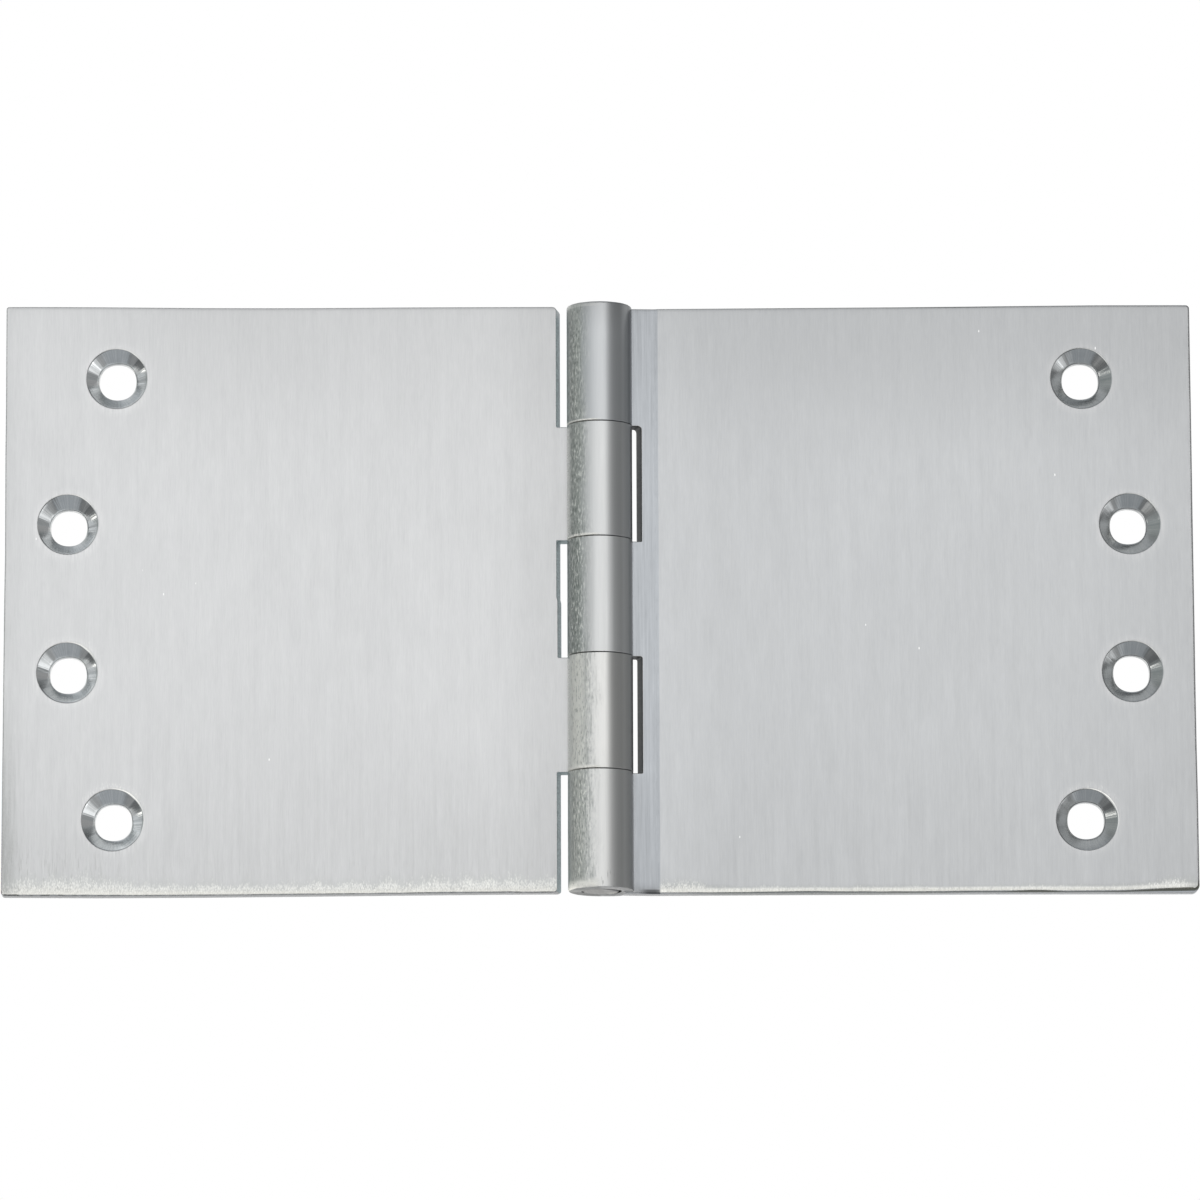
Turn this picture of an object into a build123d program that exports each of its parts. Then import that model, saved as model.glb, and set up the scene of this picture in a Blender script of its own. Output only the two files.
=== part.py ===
from build123d import *
import os

# Wide butt hinge for a door, modelled lying flat open as it is shown.
# Frame: +Z along the pin axis (up), origin on the pin axis at mid height,
# +X towards the leaf that carries the pin, front (countersunk side) at -Y.
# All lengths in millimetres.

# ---- driving dimensions -------------------------------------------------
HEIGHT = 100.0            # height of both leaves and of the barrel
OPEN_WIDTH = 200.0        # width over both leaves, lying flat open
LEAF_T = 3.5              # leaf thickness
FACE_OFFSET = 0.3         # front face lies this far behind the pin axis
BARREL_D = 11.0           # knuckle outside diameter
PIN_D = 6.3               # pin diameter
RUN_CLEAR = 0.05          # radial running clearance, swinging leaf on pin
KNUCKLE_GAP = 0.2         # axial gap between neighbouring knuckles
JOINT_Z = (29.40, 9.80, -9.95, -29.55)    # the four knuckle joint lines

NOTCH_FRONT_DOOR = 7.26   # notch wall from the pin axis, at the front face
NOTCH_BACK_DOOR = 6.60    # and at the back face: the wall is slanted
NOTCH_FRONT_FRAME = 7.10
NOTCH_BACK_FRAME = 6.25
NOTCH_JOG = 0.17          # lower half of the middle notch cut less deep
NOTCH_R = 0.30            # root radius of the milled notches

HOLE_D = 6.4              # screw clearance hole
SINK_D = 10.3             # countersink mouth, 90 degree cone
HOLE_X_OUTER_ROWS = 81.4  # top and bottom holes, from the pin axis
HOLE_X_INNER_ROWS = 89.3  # two middle holes stand nearer the outer edge
HOLE_Z_OUTER = 37.5
HOLE_Z_INNER = 12.5

CORNER_R = 0.6            # leaf corners, seen from the front
INNER_CORNER_R = (0.9, 0.5)   # swinging leaf beside the barrel: top, bottom
FRONT_EDGE_R = 0.45       # polished front edges
BACK_EDGE_R = 0.25
RIM_R = 0.35              # outer rims of the barrel ends

BAND_END = 9.9            # relief beside the barrel on the pin's leaf
BAND_DEPTH = 0.25         # deepest at its far side, running out at the barrel

PIN_RECESS = 0.15         # pin ends sit a little inside the barrel ends
PIN_CHAMFER = 0.35
BORE_CHAMFER = 0.25

R = BARREL_D / 2
TOP = HEIGHT / 2
YF = FACE_OFFSET
YB = FACE_OFFSET + LEAF_T
G = KNUCKLE_GAP / 2
SIDE = OPEN_WIDTH / 2


def prism(points, z0, z1):
    """Upright prism over a closed outline in the XY plane."""
    with BuildPart() as b:
        with BuildSketch(Plane.XY.offset(z0)):
            with BuildLine():
                Polyline(*points, close=True)
            make_face()
        extrude(amount=z1 - z0)
    return b.part


def plate(sign):
    """Leaf plate from the pin axis to its outer edge, with rounded edges."""
    mid_x = sign * SIDE / 2
    slab = Pos(mid_x, (YF + YB) / 2, 0) * Box(SIDE, LEAF_T, HEIGHT)
    outer = [e for e in slab.edges().filter_by(Axis.Y)
             if abs(e.center().X - sign * SIDE) < 0.01]
    slab = fillet(outer, CORNER_R)
    keep = lambda e: abs(e.center().X) > 0.01
    front = [e for e in slab.edges()
             if abs(e.bounding_box().min.Y - YF) < 1e-4
             and abs(e.bounding_box().max.Y - YF) < 1e-4 and keep(e)]
    slab = fillet(front, FRONT_EDGE_R)
    back = [e for e in slab.edges()
            if abs(e.bounding_box().min.Y - YB) < 1e-4
            and abs(e.bounding_box().max.Y - YB) < 1e-4 and keep(e)]
    return fillet(back, BACK_EDGE_R)


def barrel(z0, z1, bore_r):
    """One knuckle: a bored cylinder, rim rounded where it ends the barrel."""
    k = Pos(0, 0, (z0 + z1) / 2) * Cylinder(R, z1 - z0)
    rims = [e for e in k.edges().filter_by(GeomType.CIRCLE)
            if abs(abs(e.center().Z) - TOP) < 0.01]
    if rims:
        k = fillet(rims, RIM_R)
    k -= Pos(0, 0, (z0 + z1) / 2) * Cylinder(bore_r, z1 - z0 + 2)
    for end, up in ((z1, 1), (z0, -1)):
        if abs(abs(end) - TOP) < 0.01:
            lead = Cone(bore_r, bore_r + 2 * BORE_CHAMFER, 2 * BORE_CHAMFER)
            if up < 0:
                lead = Rot(180, 0, 0) * lead
            k -= Pos(0, 0, end) * lead
    return k


def notch(sign, z0, z1, front, back):
    """Cutter for the room of one opposite knuckle, with a slanted wall."""
    slope = (back - front) / LEAF_T
    f = front - slope * 2.0
    b = back + slope * 2.0
    cut = prism([(-sign * 9, YF - 7), (sign * f, YF - 7), (sign * f, YF - 2),
                 (sign * b, YB + 2), (sign * b, YB + 7), (-sign * 9, YB + 7)],
                z0, z1)
    root = [e for e in cut.edges()
            if abs(e.center().Y - (YF + YB) / 2) < 0.01
            and abs(e.center().Z) < TOP - 0.5
            and e.center().X * sign > 0
            and e.bounding_box().size.Z < 1e-4]
    return fillet(root, NOTCH_R) if root else cut


def corner_round(sign, up, front, back, r):
    """Cutter that rounds the free corner between a notch wall and an end."""
    along = Vector(sign * (back - front), LEAF_T, 0).normalized()
    inward = Vector(0, 0, -up).cross(along) * (sign * up)
    if inward.X * sign < 0:
        inward = inward * -1
    at = Vector(sign * front, YF, up * TOP)
    base = Plane(origin=at, x_dir=inward, z_dir=along)
    down = -1 if base.y_dir.Z * up > 0 else 1
    with BuildPart() as b:
        with BuildSketch(base.offset(-1.5)):
            with BuildLine():
                Polyline((-0.3, down * -0.3), (r, down * -0.3), (r, 0))
                RadiusArc((r, 0), (0, down * r), -r if down < 0 else r)
                Polyline((0, down * r), (-0.3, down * r), (-0.3, down * -0.3))
            make_face()
        extrude(amount=LEAF_T + 3.0)
    return b.part


def screw_hole(x, z):
    """Clearance hole with a 90 degree countersink at the front face."""
    depth = (SINK_D - HOLE_D) / 2
    hole = Rot(90, 0, 0) * Cylinder(HOLE_D / 2, LEAF_T + 4)
    grow = 0.4
    sink = Rot(90, 0, 0) * Cone(HOLE_D / 2, SINK_D / 2 + grow, depth + grow)
    return [Pos(x, (YF + YB) / 2, z) * hole,
            Pos(x, YF + (depth - grow) / 2, z) * sink]


def drill(leaf, sign):
    for x, z in ((HOLE_X_OUTER_ROWS, HOLE_Z_OUTER),
                 (HOLE_X_INNER_ROWS, HOLE_Z_INNER),
                 (HOLE_X_INNER_ROWS, -HOLE_Z_INNER),
                 (HOLE_X_OUTER_ROWS, -HOLE_Z_OUTER)):
        for tool in screw_hole(sign * x, z):
            leaf -= tool
    return leaf


j1, j2, j3, j4 = JOINT_Z
pin_r = PIN_D / 2

# ---- leaf that carries the pin: knuckles at the top, middle and bottom ----
clear_core = Cylinder(R - 0.02, HEIGHT + 2)
frame_leaf = plate(1) - clear_core
frame_leaf -= prism([(-8, YF - 1), (0.02, YF - 1), (0.02, YB + 1), (-8, YB + 1)],
                    -TOP - 1, TOP + 1)
frame_leaf -= prism([(R + 0.1, YF - 0.3), (BAND_END, YF - 0.3),
                     (BAND_END, YF + BAND_DEPTH), (R + 0.1, YF)],
                    -TOP - 1, TOP + 1)
for z0, z1 in ((j2 - G, j1 + G), (j4 - G, j3 + G)):
    frame_leaf -= notch(1, z0, z1, NOTCH_FRONT_FRAME, NOTCH_BACK_FRAME)
for z0, z1 in ((j1 + G, TOP), (j3 + G, j2 - G), (-TOP, j4 - G)):
    frame_leaf += barrel(z0, z1, pin_r)
frame_leaf = drill(frame_leaf, 1)

# ---- leaf that swings: the second and fourth knuckle ----
door_leaf = plate(-1) - clear_core
door_leaf -= prism([(8, YF - 1), (-0.02, YF - 1), (-0.02, YB + 1), (8, YB + 1)],
                   -TOP - 1, TOP + 1)
door_leaf -= notch(-1, j1 - G, TOP + 1, NOTCH_FRONT_DOOR, NOTCH_BACK_DOOR)
door_leaf -= notch(-1, 0.0, j2 + G, NOTCH_FRONT_DOOR, NOTCH_BACK_DOOR)
door_leaf -= notch(-1, j3 - G, 0.4, NOTCH_FRONT_DOOR - NOTCH_JOG,
                   NOTCH_BACK_DOOR - NOTCH_JOG)
door_leaf -= notch(-1, -TOP - 1, j4 + G, NOTCH_FRONT_DOOR, NOTCH_BACK_DOOR)
for up, r in ((1, INNER_CORNER_R[0]), (-1, INNER_CORNER_R[1])):
    door_leaf -= corner_round(-1, up, NOTCH_FRONT_DOOR, NOTCH_BACK_DOOR, r)
for z0, z1 in ((j2 + G, j1 - G), (j4 + G, j3 - G)):
    door_leaf += barrel(z0, z1, pin_r + RUN_CLEAR)
door_leaf = drill(door_leaf, -1)

# ---- fixed pin, pressed into the pin's leaf ----
hinge_pin = Cylinder(pin_r, HEIGHT - 2 * PIN_RECESS)
hinge_pin = chamfer(hinge_pin.edges().filter_by(GeomType.CIRCLE), PIN_CHAMFER)

os.makedirs("parts", exist_ok=True)
for name, shape in (("frame_leaf", frame_leaf), ("door_leaf", door_leaf),
                    ("hinge_pin", hinge_pin)):
    solids = shape.solids()
    body = solids[0] if len(solids) == 1 else Compound(children=list(solids))
    body.label = name
    export_step(body, "parts/" + name + ".step")
    box = body.bounding_box()
    print(name, len(solids), round(body.volume, 1), box.min, box.max)
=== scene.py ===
import bpy
import bmesh
import math
import numpy as np
from mathutils import Matrix, Vector
from mathutils.geometry import delaunay_2d_cdt


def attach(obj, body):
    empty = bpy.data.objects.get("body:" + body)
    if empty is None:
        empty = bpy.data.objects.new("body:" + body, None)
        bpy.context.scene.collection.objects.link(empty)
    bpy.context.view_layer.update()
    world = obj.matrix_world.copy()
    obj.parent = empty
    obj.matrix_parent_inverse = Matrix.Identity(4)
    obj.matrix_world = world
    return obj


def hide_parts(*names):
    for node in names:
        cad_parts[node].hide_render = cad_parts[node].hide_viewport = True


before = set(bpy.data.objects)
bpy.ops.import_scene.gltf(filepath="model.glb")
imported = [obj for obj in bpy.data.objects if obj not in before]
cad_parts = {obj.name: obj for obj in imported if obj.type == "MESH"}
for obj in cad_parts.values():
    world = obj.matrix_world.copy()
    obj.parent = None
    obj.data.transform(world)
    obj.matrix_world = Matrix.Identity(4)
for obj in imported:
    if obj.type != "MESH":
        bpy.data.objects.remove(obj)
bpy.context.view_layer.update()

# ---------------------------------------------------------------- dimensions
# Millimetres here; meshes are scaled to metres at the end.
# u is the distance from the pin axis along a leaf, z is up, y is depth with
# the front of the hinge towards -y.
TOP = 50.0
SIDE = 100.0
LEAF_T = 3.5
YF = 0.3
YB = YF + LEAF_T
BARREL_R = 5.5
PIN_R = 3.15
J1, J2, J3, J4 = 29.40, 9.80, -9.95, -29.55
GAP = 0.06
BARREL_TOP, BARREL_LOW = 49.83, -49.80     # the barrel ends a little inside the leaves
HOLES = ((81.4, 37.5), (89.3, 12.5), (89.3, -12.5), (81.4, -37.5))
# Drilled and sunk by hand: per hole the shift of the hole and its radius, the
# shift of the countersink and its radius, and how far its rim is burred.
DRILLED = {
    -1: ((-0.09, 0.00, 3.19, -0.01, 0.23, 5.11, 0.3), (0.02, -0.07, 3.13, 0.13, 0.29, 5.10, 0.4),
         (-0.09, -0.16, 3.15, 0.04, 0.04, 5.11, 1.0), (0.01, -0.08, 3.15, 0.13, 0.12, 5.18, 1.0)),
    1: ((-0.01, -0.09, 3.17, 0.05, 0.12, 5.17, 0.1), (-0.19, 0.00, 3.11, -0.02, 0.16, 5.15, 0.2),
        (0.01, -0.16, 3.13, 0.07, -0.01, 5.13, 0.3), (-0.11, -0.07, 3.16, -0.07, -0.09, 5.17, 1.0)),
}
WEB = 3.75                 # plates reach this far into the knuckle walls
RING = 0.55                # width of the edge rings around each plate
M_FACE, M_EDGE, M_SINK, M_BARREL, M_NOTCH = 0, 1, 2, 3, 4


def noise1(seed, period):
    """Smooth random curve between -1 and 1, the same on every run."""
    table = np.random.default_rng(seed).uniform(-1.0, 1.0, 4096)

    def f(t):
        t = np.asarray(t, float) / period + 1024.0
        i = np.floor(t).astype(int)
        w = t - i
        w = w * w * (3 - 2 * w)
        return table[i % 4096] * (1 - w) + table[(i + 1) % 4096] * w
    return f


def smooth(a, b, x):
    t = np.clip((np.asarray(x, float) - a) / (b - a), 0.0, 1.0)
    return t * t * (3 - 2 * t)


# ------------------------------------------------------------- leaf surfaces
class Leaf:
    """Numbers that make one leaf: outline, edge rounding and face relief."""

    def __init__(self, name, sign):
        self.name, self.sign = name, sign
        s = 11 if sign > 0 else 5
        self.n_low = noise1(s, 9.0)
        self.n_mid = noise1(s + 1, 2.6)
        self.n_fine = noise1(s + 2, 0.9)
        self.front = 7.10 if sign > 0 else 7.26
        self.slant = 0.85 if sign > 0 else 0.66

    def top_at(self, u):
        """Height of the upper edge: dressed by hand, so not quite square."""
        if self.sign > 0:
            return TOP + np.interp(u, (10, 50, 67, 84, 100), (-0.34, -0.07, 0.115, 0.27, 0.28))
        bow = 0.18 * np.sin(np.pi * np.clip((np.asarray(u, float) - 8) / 88, 0, 1)) ** 2
        return TOP + 0.04 - bow + np.interp(u, (17, 34, 50, 67, 84, 96), (0.0, 0.06, 0.02, 0.0, 0.05, 0.08))

    def low_at(self, u):
        """Height of the lower edge."""
        if self.sign > 0:
            return -TOP + np.interp(u, (3.7, 5.2, 9.0, 17, 33, 67, 84, 100), (0.17, 0.13, 0.08, 0.12, 0.18, 0.22, 0.20, 0.19))
        return -TOP + np.interp(u, (8, 17, 34, 50, 67, 84, 92, 100),
                                (0.365, 0.335, 0.21, 0.065, -0.068, -0.12, -0.07, -0.01))

    def side_at(self, z):
        """Small waves of the outer edge."""
        if self.sign > 0:
            return float(np.interp(z, (-50, -34, -25, -16, 0, 16, 33, 45), (-0.02, -0.02, -0.09, -0.10, -0.08, -0.075, -0.04, -0.04)))
        return float(np.interp(z, (-50, 0, 8, 17, 25, 33, 45, 50), (0.0, -0.02, -0.07, -0.01, 0.05, 0.04, 0.10, 0.12)))

    def low_edge(self, u):
        """Depth and reach of the worn roll along the lower edge."""
        u = np.asarray(u, float)
        if self.sign < 0:
            ends = 0.9 * smooth(62, 96, u) + 0.45 * smooth(22, 9, u)
        else:
            ends = 0.55 * smooth(72, 98, u) + 0.65 * smooth(26, 11, u)
        reach = 1.15 + ends + 0.22 * self.n_low(u) + 0.10 * self.n_mid(u)
        depth = 0.20 + 0.10 * ends + 0.030 * self.n_low(u + 37)
        return depth, reach

    def drop(self, u, z):
        """How far the front face lies behind its nominal plane."""
        u, z = np.asarray(u, float), np.asarray(z, float)
        depth, reach = self.low_edge(u)
        d = depth * np.clip(1 - (z - self.low_at(u)) / reach, 0, 1.4) ** 2
        d = d + 0.050 * np.clip(1 - (self.top_at(u) - z) / 1.6, 0, 1.4) ** 2
        wide = 4.6 if self.sign < 0 else 3.0
        d = d + 0.085 * np.clip(1 - (SIDE - u) / wide, 0, 1.4) ** 2
        d = d + 0.010 * np.sin(u / 11.0 + 0.6) * np.cos(z / 14.0 + 0.4 * self.sign)
        if self.sign > 0:
            # shallow relief beside the barrel, with a crisp step at its far side
            inside = (u > 5.6) & (u < 9.90)
            d = d + np.where(inside, 0.24 * np.clip((u - 5.6) / 4.3, 0, 1), 0.0)
        return d

    def edge_r(self, kind, u, z):
        if kind == "bottom":
            if self.sign > 0:
                grow = 0.08 * smooth(50, 70, u) + 0.10 * np.exp(-((u - 72.5) / 3.5) ** 2) + 0.58 * smooth(86, 99, u)
            else:
                grow = 0.05 * smooth(70, 95, u) - 0.09
            return 0.25 + grow + (0.05 + 0.15 * grow) * self.n_low(u + 11) + 0.03 * self.n_mid(u)
        if kind == "top":
            return (0.12 if self.sign < 0 else 0.12 + 0.12 * float(smooth(40, 60, u))) + 0.02 * self.n_low(u + 71)
        if kind == "outer":
            return (0.20 if self.sign < 0 else 0.32) + 0.03 * self.n_low(z + 5)
        if kind == "web":
            return 0.06
        return 0.11

    def lean(self, kind, u):
        """Shift of the back of a notch wall towards the pin."""
        if kind in ("notch_h", "notch_v"):
            return self.slant * min(1.0, (u - WEB) / (self.front - WEB))
        if self.sign < 0 and kind in ("top", "bottom"):
            return self.slant * max(0.0, 1 - (u - self.front) / 3.0)
        return 0.0

    def corners(self):
        f, g = self.front, 0.02
        if self.sign > 0:
            return [
                (WEB, -TOP, 0, "bottom"), (SIDE, -TOP, 1.15, "outer"),
                (SIDE, TOP, 0.62, "top"), (WEB, TOP, 0, "web"),
                (WEB, J1 + GAP + g, 0, "notch_h"), (f, J1 + GAP + g, 0.62, "notch_v"),
                (f, J2 - GAP - g, 0.16, "notch_h"), (WEB, J2 - GAP - g, 0, "web"),
                (WEB, J3 + GAP + g, 0, "notch_h"), (f, J3 + GAP + g, 0.30, "notch_v"),
                (f, J4 - GAP - g, 0.16, "notch_h"), (WEB, J4 - GAP - g, 0, "web"),
            ]
        return [
            (f, -TOP, 0.60, "bottom"), (SIDE, -TOP, 0.44, "outer"),
            (SIDE, TOP, 0.42, "top"), (f, TOP, 0.66, "notch_v"),
            (f, J1 - GAP - g, 0.20, "notch_h"), (WEB, J1 - GAP - g, 0, "web"),
            (WEB, J2 + GAP + g, 0, "notch_h"), (f, J2 + GAP + g, 0.14, "notch_v"),
            (f, 0.25, 0, "notch_v"), (f - 0.17, -0.35, 0, "notch_v"),
            (f - 0.17, J3 - GAP - g, 0.18, "notch_h"), (WEB, J3 - GAP - g, 0, "web"),
            (WEB, J4 + GAP + g, 0, "notch_h"), (f, J4 + GAP + g, 0.14, "notch_v"),
        ]


STEP = {"bottom": 0.45, "top": 0.8, "outer": 0.8, "web": 1.2,
        "notch_h": 0.35, "notch_v": 0.8}


def outline(leaf):
    """Points along the plate's edge, anticlockwise in (u, z): position, offset
    direction, rounding radius and lean of each."""
    vs = leaf.corners()
    n = len(vs)
    pos = [np.array(v[:2], float) for v in vs]
    way = [(pos[(i + 1) % n] - pos[i]) for i in range(n)]
    way = [w / np.linalg.norm(w) for w in way]
    cut, out = [], []
    for i in range(n):
        half = 0.5 * math.acos(max(-1.0, min(1.0, float(way[i - 1] @ way[i]))))
        cut.append(vs[i][2] * math.tan(half))

    turns = [way[i - 1][0] * way[i][1] - way[i - 1][1] * way[i][0] for i in range(n)]
    sharp = [vs[i][2] == 0 and turns[i] > 0.3 for i in range(n)]

    def add(p, m, ka, kb, w, room=9.0):
        u, z = float(p[0]), float(p[1])
        if z > TOP - 0.95:
            p = p + np.array([0.0, float(leaf.top_at(u)) - TOP])
        elif z < -TOP + 1.25:
            p = p + np.array([0.0, float(leaf.low_at(u)) + TOP])
        if u > SIDE - 0.95:
            p = p + np.array([leaf.side_at(z), 0.0])
        r = (1 - w) * leaf.edge_r(ka, u, z) + w * leaf.edge_r(kb, u, z)
        s = (1 - w) * leaf.lean(ka, u) + w * leaf.lean(kb, u)
        inset = min(max(RING, float(r) + 0.10), room)
        out.append((p, m, float(r), float(s), ka if w < 0.5 else kb, inset))

    for i in range(n):
        d1, d2 = way[i - 1], way[i]
        n1, n2 = np.array([d1[1], -d1[0]]), np.array([d2[1], -d2[0]])
        ka, kb, rad = vs[i - 1][3], vs[i][3], vs[i][2]
        turn = d1[0] * d2[1] - d1[1] * d2[0]
        if rad > 0:
            side = 1.0 if turn > 0 else -1.0
            centre = pos[i] - d1 * cut[i] - side * n1 * rad
            steps = max(3, int(rad / 0.09))
            full = math.acos(max(-1.0, min(1.0, float(n1 @ n2))))
            for k in range(steps + 1):
                w = k / steps
                m = (math.sin((1 - w) * full) * n1 + math.sin(w * full) * n2) / math.sin(full)
                add(centre + side * rad * m, m, ka, kb, w, rad - 0.05 if turn > 0 else 9.0)
        else:
            m = (n1 + n2) / (1 + float(n1 @ n2))
            add(pos[i], m, ka, kb, 0.5)
        a = pos[i] + d2 * cut[i]
        b = pos[(i + 1) % n] - d2 * cut[(i + 1) % n]
        length = float(np.linalg.norm(b - a))
        count = max(1, int(round(length / STEP[kb])))
        marks = [k / count for k in range(1, count)]
        # keep clear of sharp corners, so that the inset rings do not cross
        marks = [m for m in marks
                 if not (sharp[i] and m * length < 0.75)
                 and not (sharp[(i + 1) % n] and (1 - m) * length < 0.75)]
        if leaf.sign > 0 and kb in ("bottom", "top"):
            # keep the step of the shallow relief crisp right to the ends
            for uu in (9.84, 9.96):
                marks.append(abs(uu - a[0]) / length)
            marks = sorted(marks)
            marks = [m for m in marks if not any(
                0 < abs(m * length - abs(uu - a[0])) < 0.16 for uu in (9.84, 9.96))]
        for t in marks:
            add(a + (b - a) * t, n2, kb, kb, 0.0)
    return out


def hole_loops(leaf, index, count):
    """Rings of one countersunk hole, from the front face to the back face."""
    cu, cz = HOLES[index]
    hu, hz, hole_r, su, sz, sink_r, burr = DRILLED[leaf.sign][index]
    seed = 101 + 10 * index + (5 if leaf.sign > 0 else 0)
    ang = np.linspace(0, 2 * np.pi, count, endpoint=False)
    turn = ang / (2 * np.pi)

    def wrap(sd, cycles):
        t = np.random.default_rng(sd).uniform(-1, 1, cycles)
        x = turn * cycles
        i = np.floor(x).astype(int)
        w = x - i
        w = w * w * (3 - 2 * w)
        return t[i % cycles] * (1 - w) + t[(i + 1) % cycles] * w

    # the cutter chattered: shallow radial facets on the cone
    chatter = 0.014 * wrap(seed + 1, 17) + 0.0105 * wrap(seed + 2, 41) + 0.0045 * wrap(seed + 5, 83)
    rim = 0.020 * wrap(seed + 3, 7) + 0.012 * wrap(seed + 4, 19)
    lobes = -0.055 * np.cos(4 * ang) + 0.018 * wrap(seed + 6, 9)
    right_up = ang if leaf.sign > 0 else np.pi - ang
    round_r = 0.42 + 0.50 * burr * np.exp(-((np.angle(np.exp(1j * (right_up - 0.85)))) / 0.75) ** 2)
    # rows: radius, depth, share of chatter, share of rim wobble, 0 at the
    # countersink's centre and 1 at the hole's centre, share of lobes
    rows = [(sink_r + 0.414 * round_r + 0.12, 0.0 * round_r, 0, 0, 0, 0)]
    for k in range(7):
        a = math.radians(45.0 * k / 6)
        rows.append((sink_r + 0.414 * round_r - round_r * math.sin(a), round_r * (1 - math.cos(a)),
                     0.5 * (k / 6) ** 2, 1, 0, 0))
    r0, d0 = rows[-1][0], rows[-1][1]
    for k in range(1, 9):
        f = k / 9.0
        rows.append((r0 + (hole_r + 0.06 - r0) * f, d0 + (1.75 - d0) * f, 1.0, 1 - f, f, f))
    rows += [(hole_r + 0.03, 1.79, 0.6, 0, 1, 1), (hole_r + 0.005, 1.85, 0.2, 0, 1, 1),
             (hole_r, 1.96, 0, 0, 1, 1), (hole_r, 2.7, 0, 0, 1, 1), (hole_r, 3.28, 0, 0, 1, 1),
             (hole_r + 0.03, 3.40, 0, 0, 1, 1), (hole_r + 0.10, 3.475, 0, 0, 1, 1),
             (hole_r + 0.24, LEAF_T, 0, 0, 1, 1), (hole_r + 0.44, LEAF_T, 0, 0, 1, 1)]
    loops = []
    for k, (r, depth, chat, wob, mid, lob) in enumerate(rows):
        rr = r + rim * wob * 0.6 + lobes * lob
        dd = depth + chatter * chat
        u = cu + su + (hu - su) * mid + rr * np.cos(ang)
        z = cz + sz + (hz - sz) * mid + rr * np.sin(ang)
        flat = 1.0 if k < 3 else max(0.0, 1 - float(np.max(depth)))
        last = k == len(rows) - 1
        loops.append((u, z, np.full_like(u, YB) if last else YF + dd + leaf.drop(u, z) * flat))
    return loops


def inside_poly(px, pz, poly):
    """Even-odd test of many points against one closed outline."""
    x, z = poly[:, 0], poly[:, 1]
    x2, z2 = np.roll(x, -1), np.roll(z, -1)
    hit = np.zeros(len(px), bool)
    for k in range(len(poly)):
        if z[k] == z2[k]:
            continue
        c = (z[k] > pz) != (z2[k] > pz)
        xi = x[k] + (pz - z[k]) * (x2[k] - x[k]) / (z2[k] - z[k])
        hit ^= c & (px < xi)
    return hit


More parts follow.
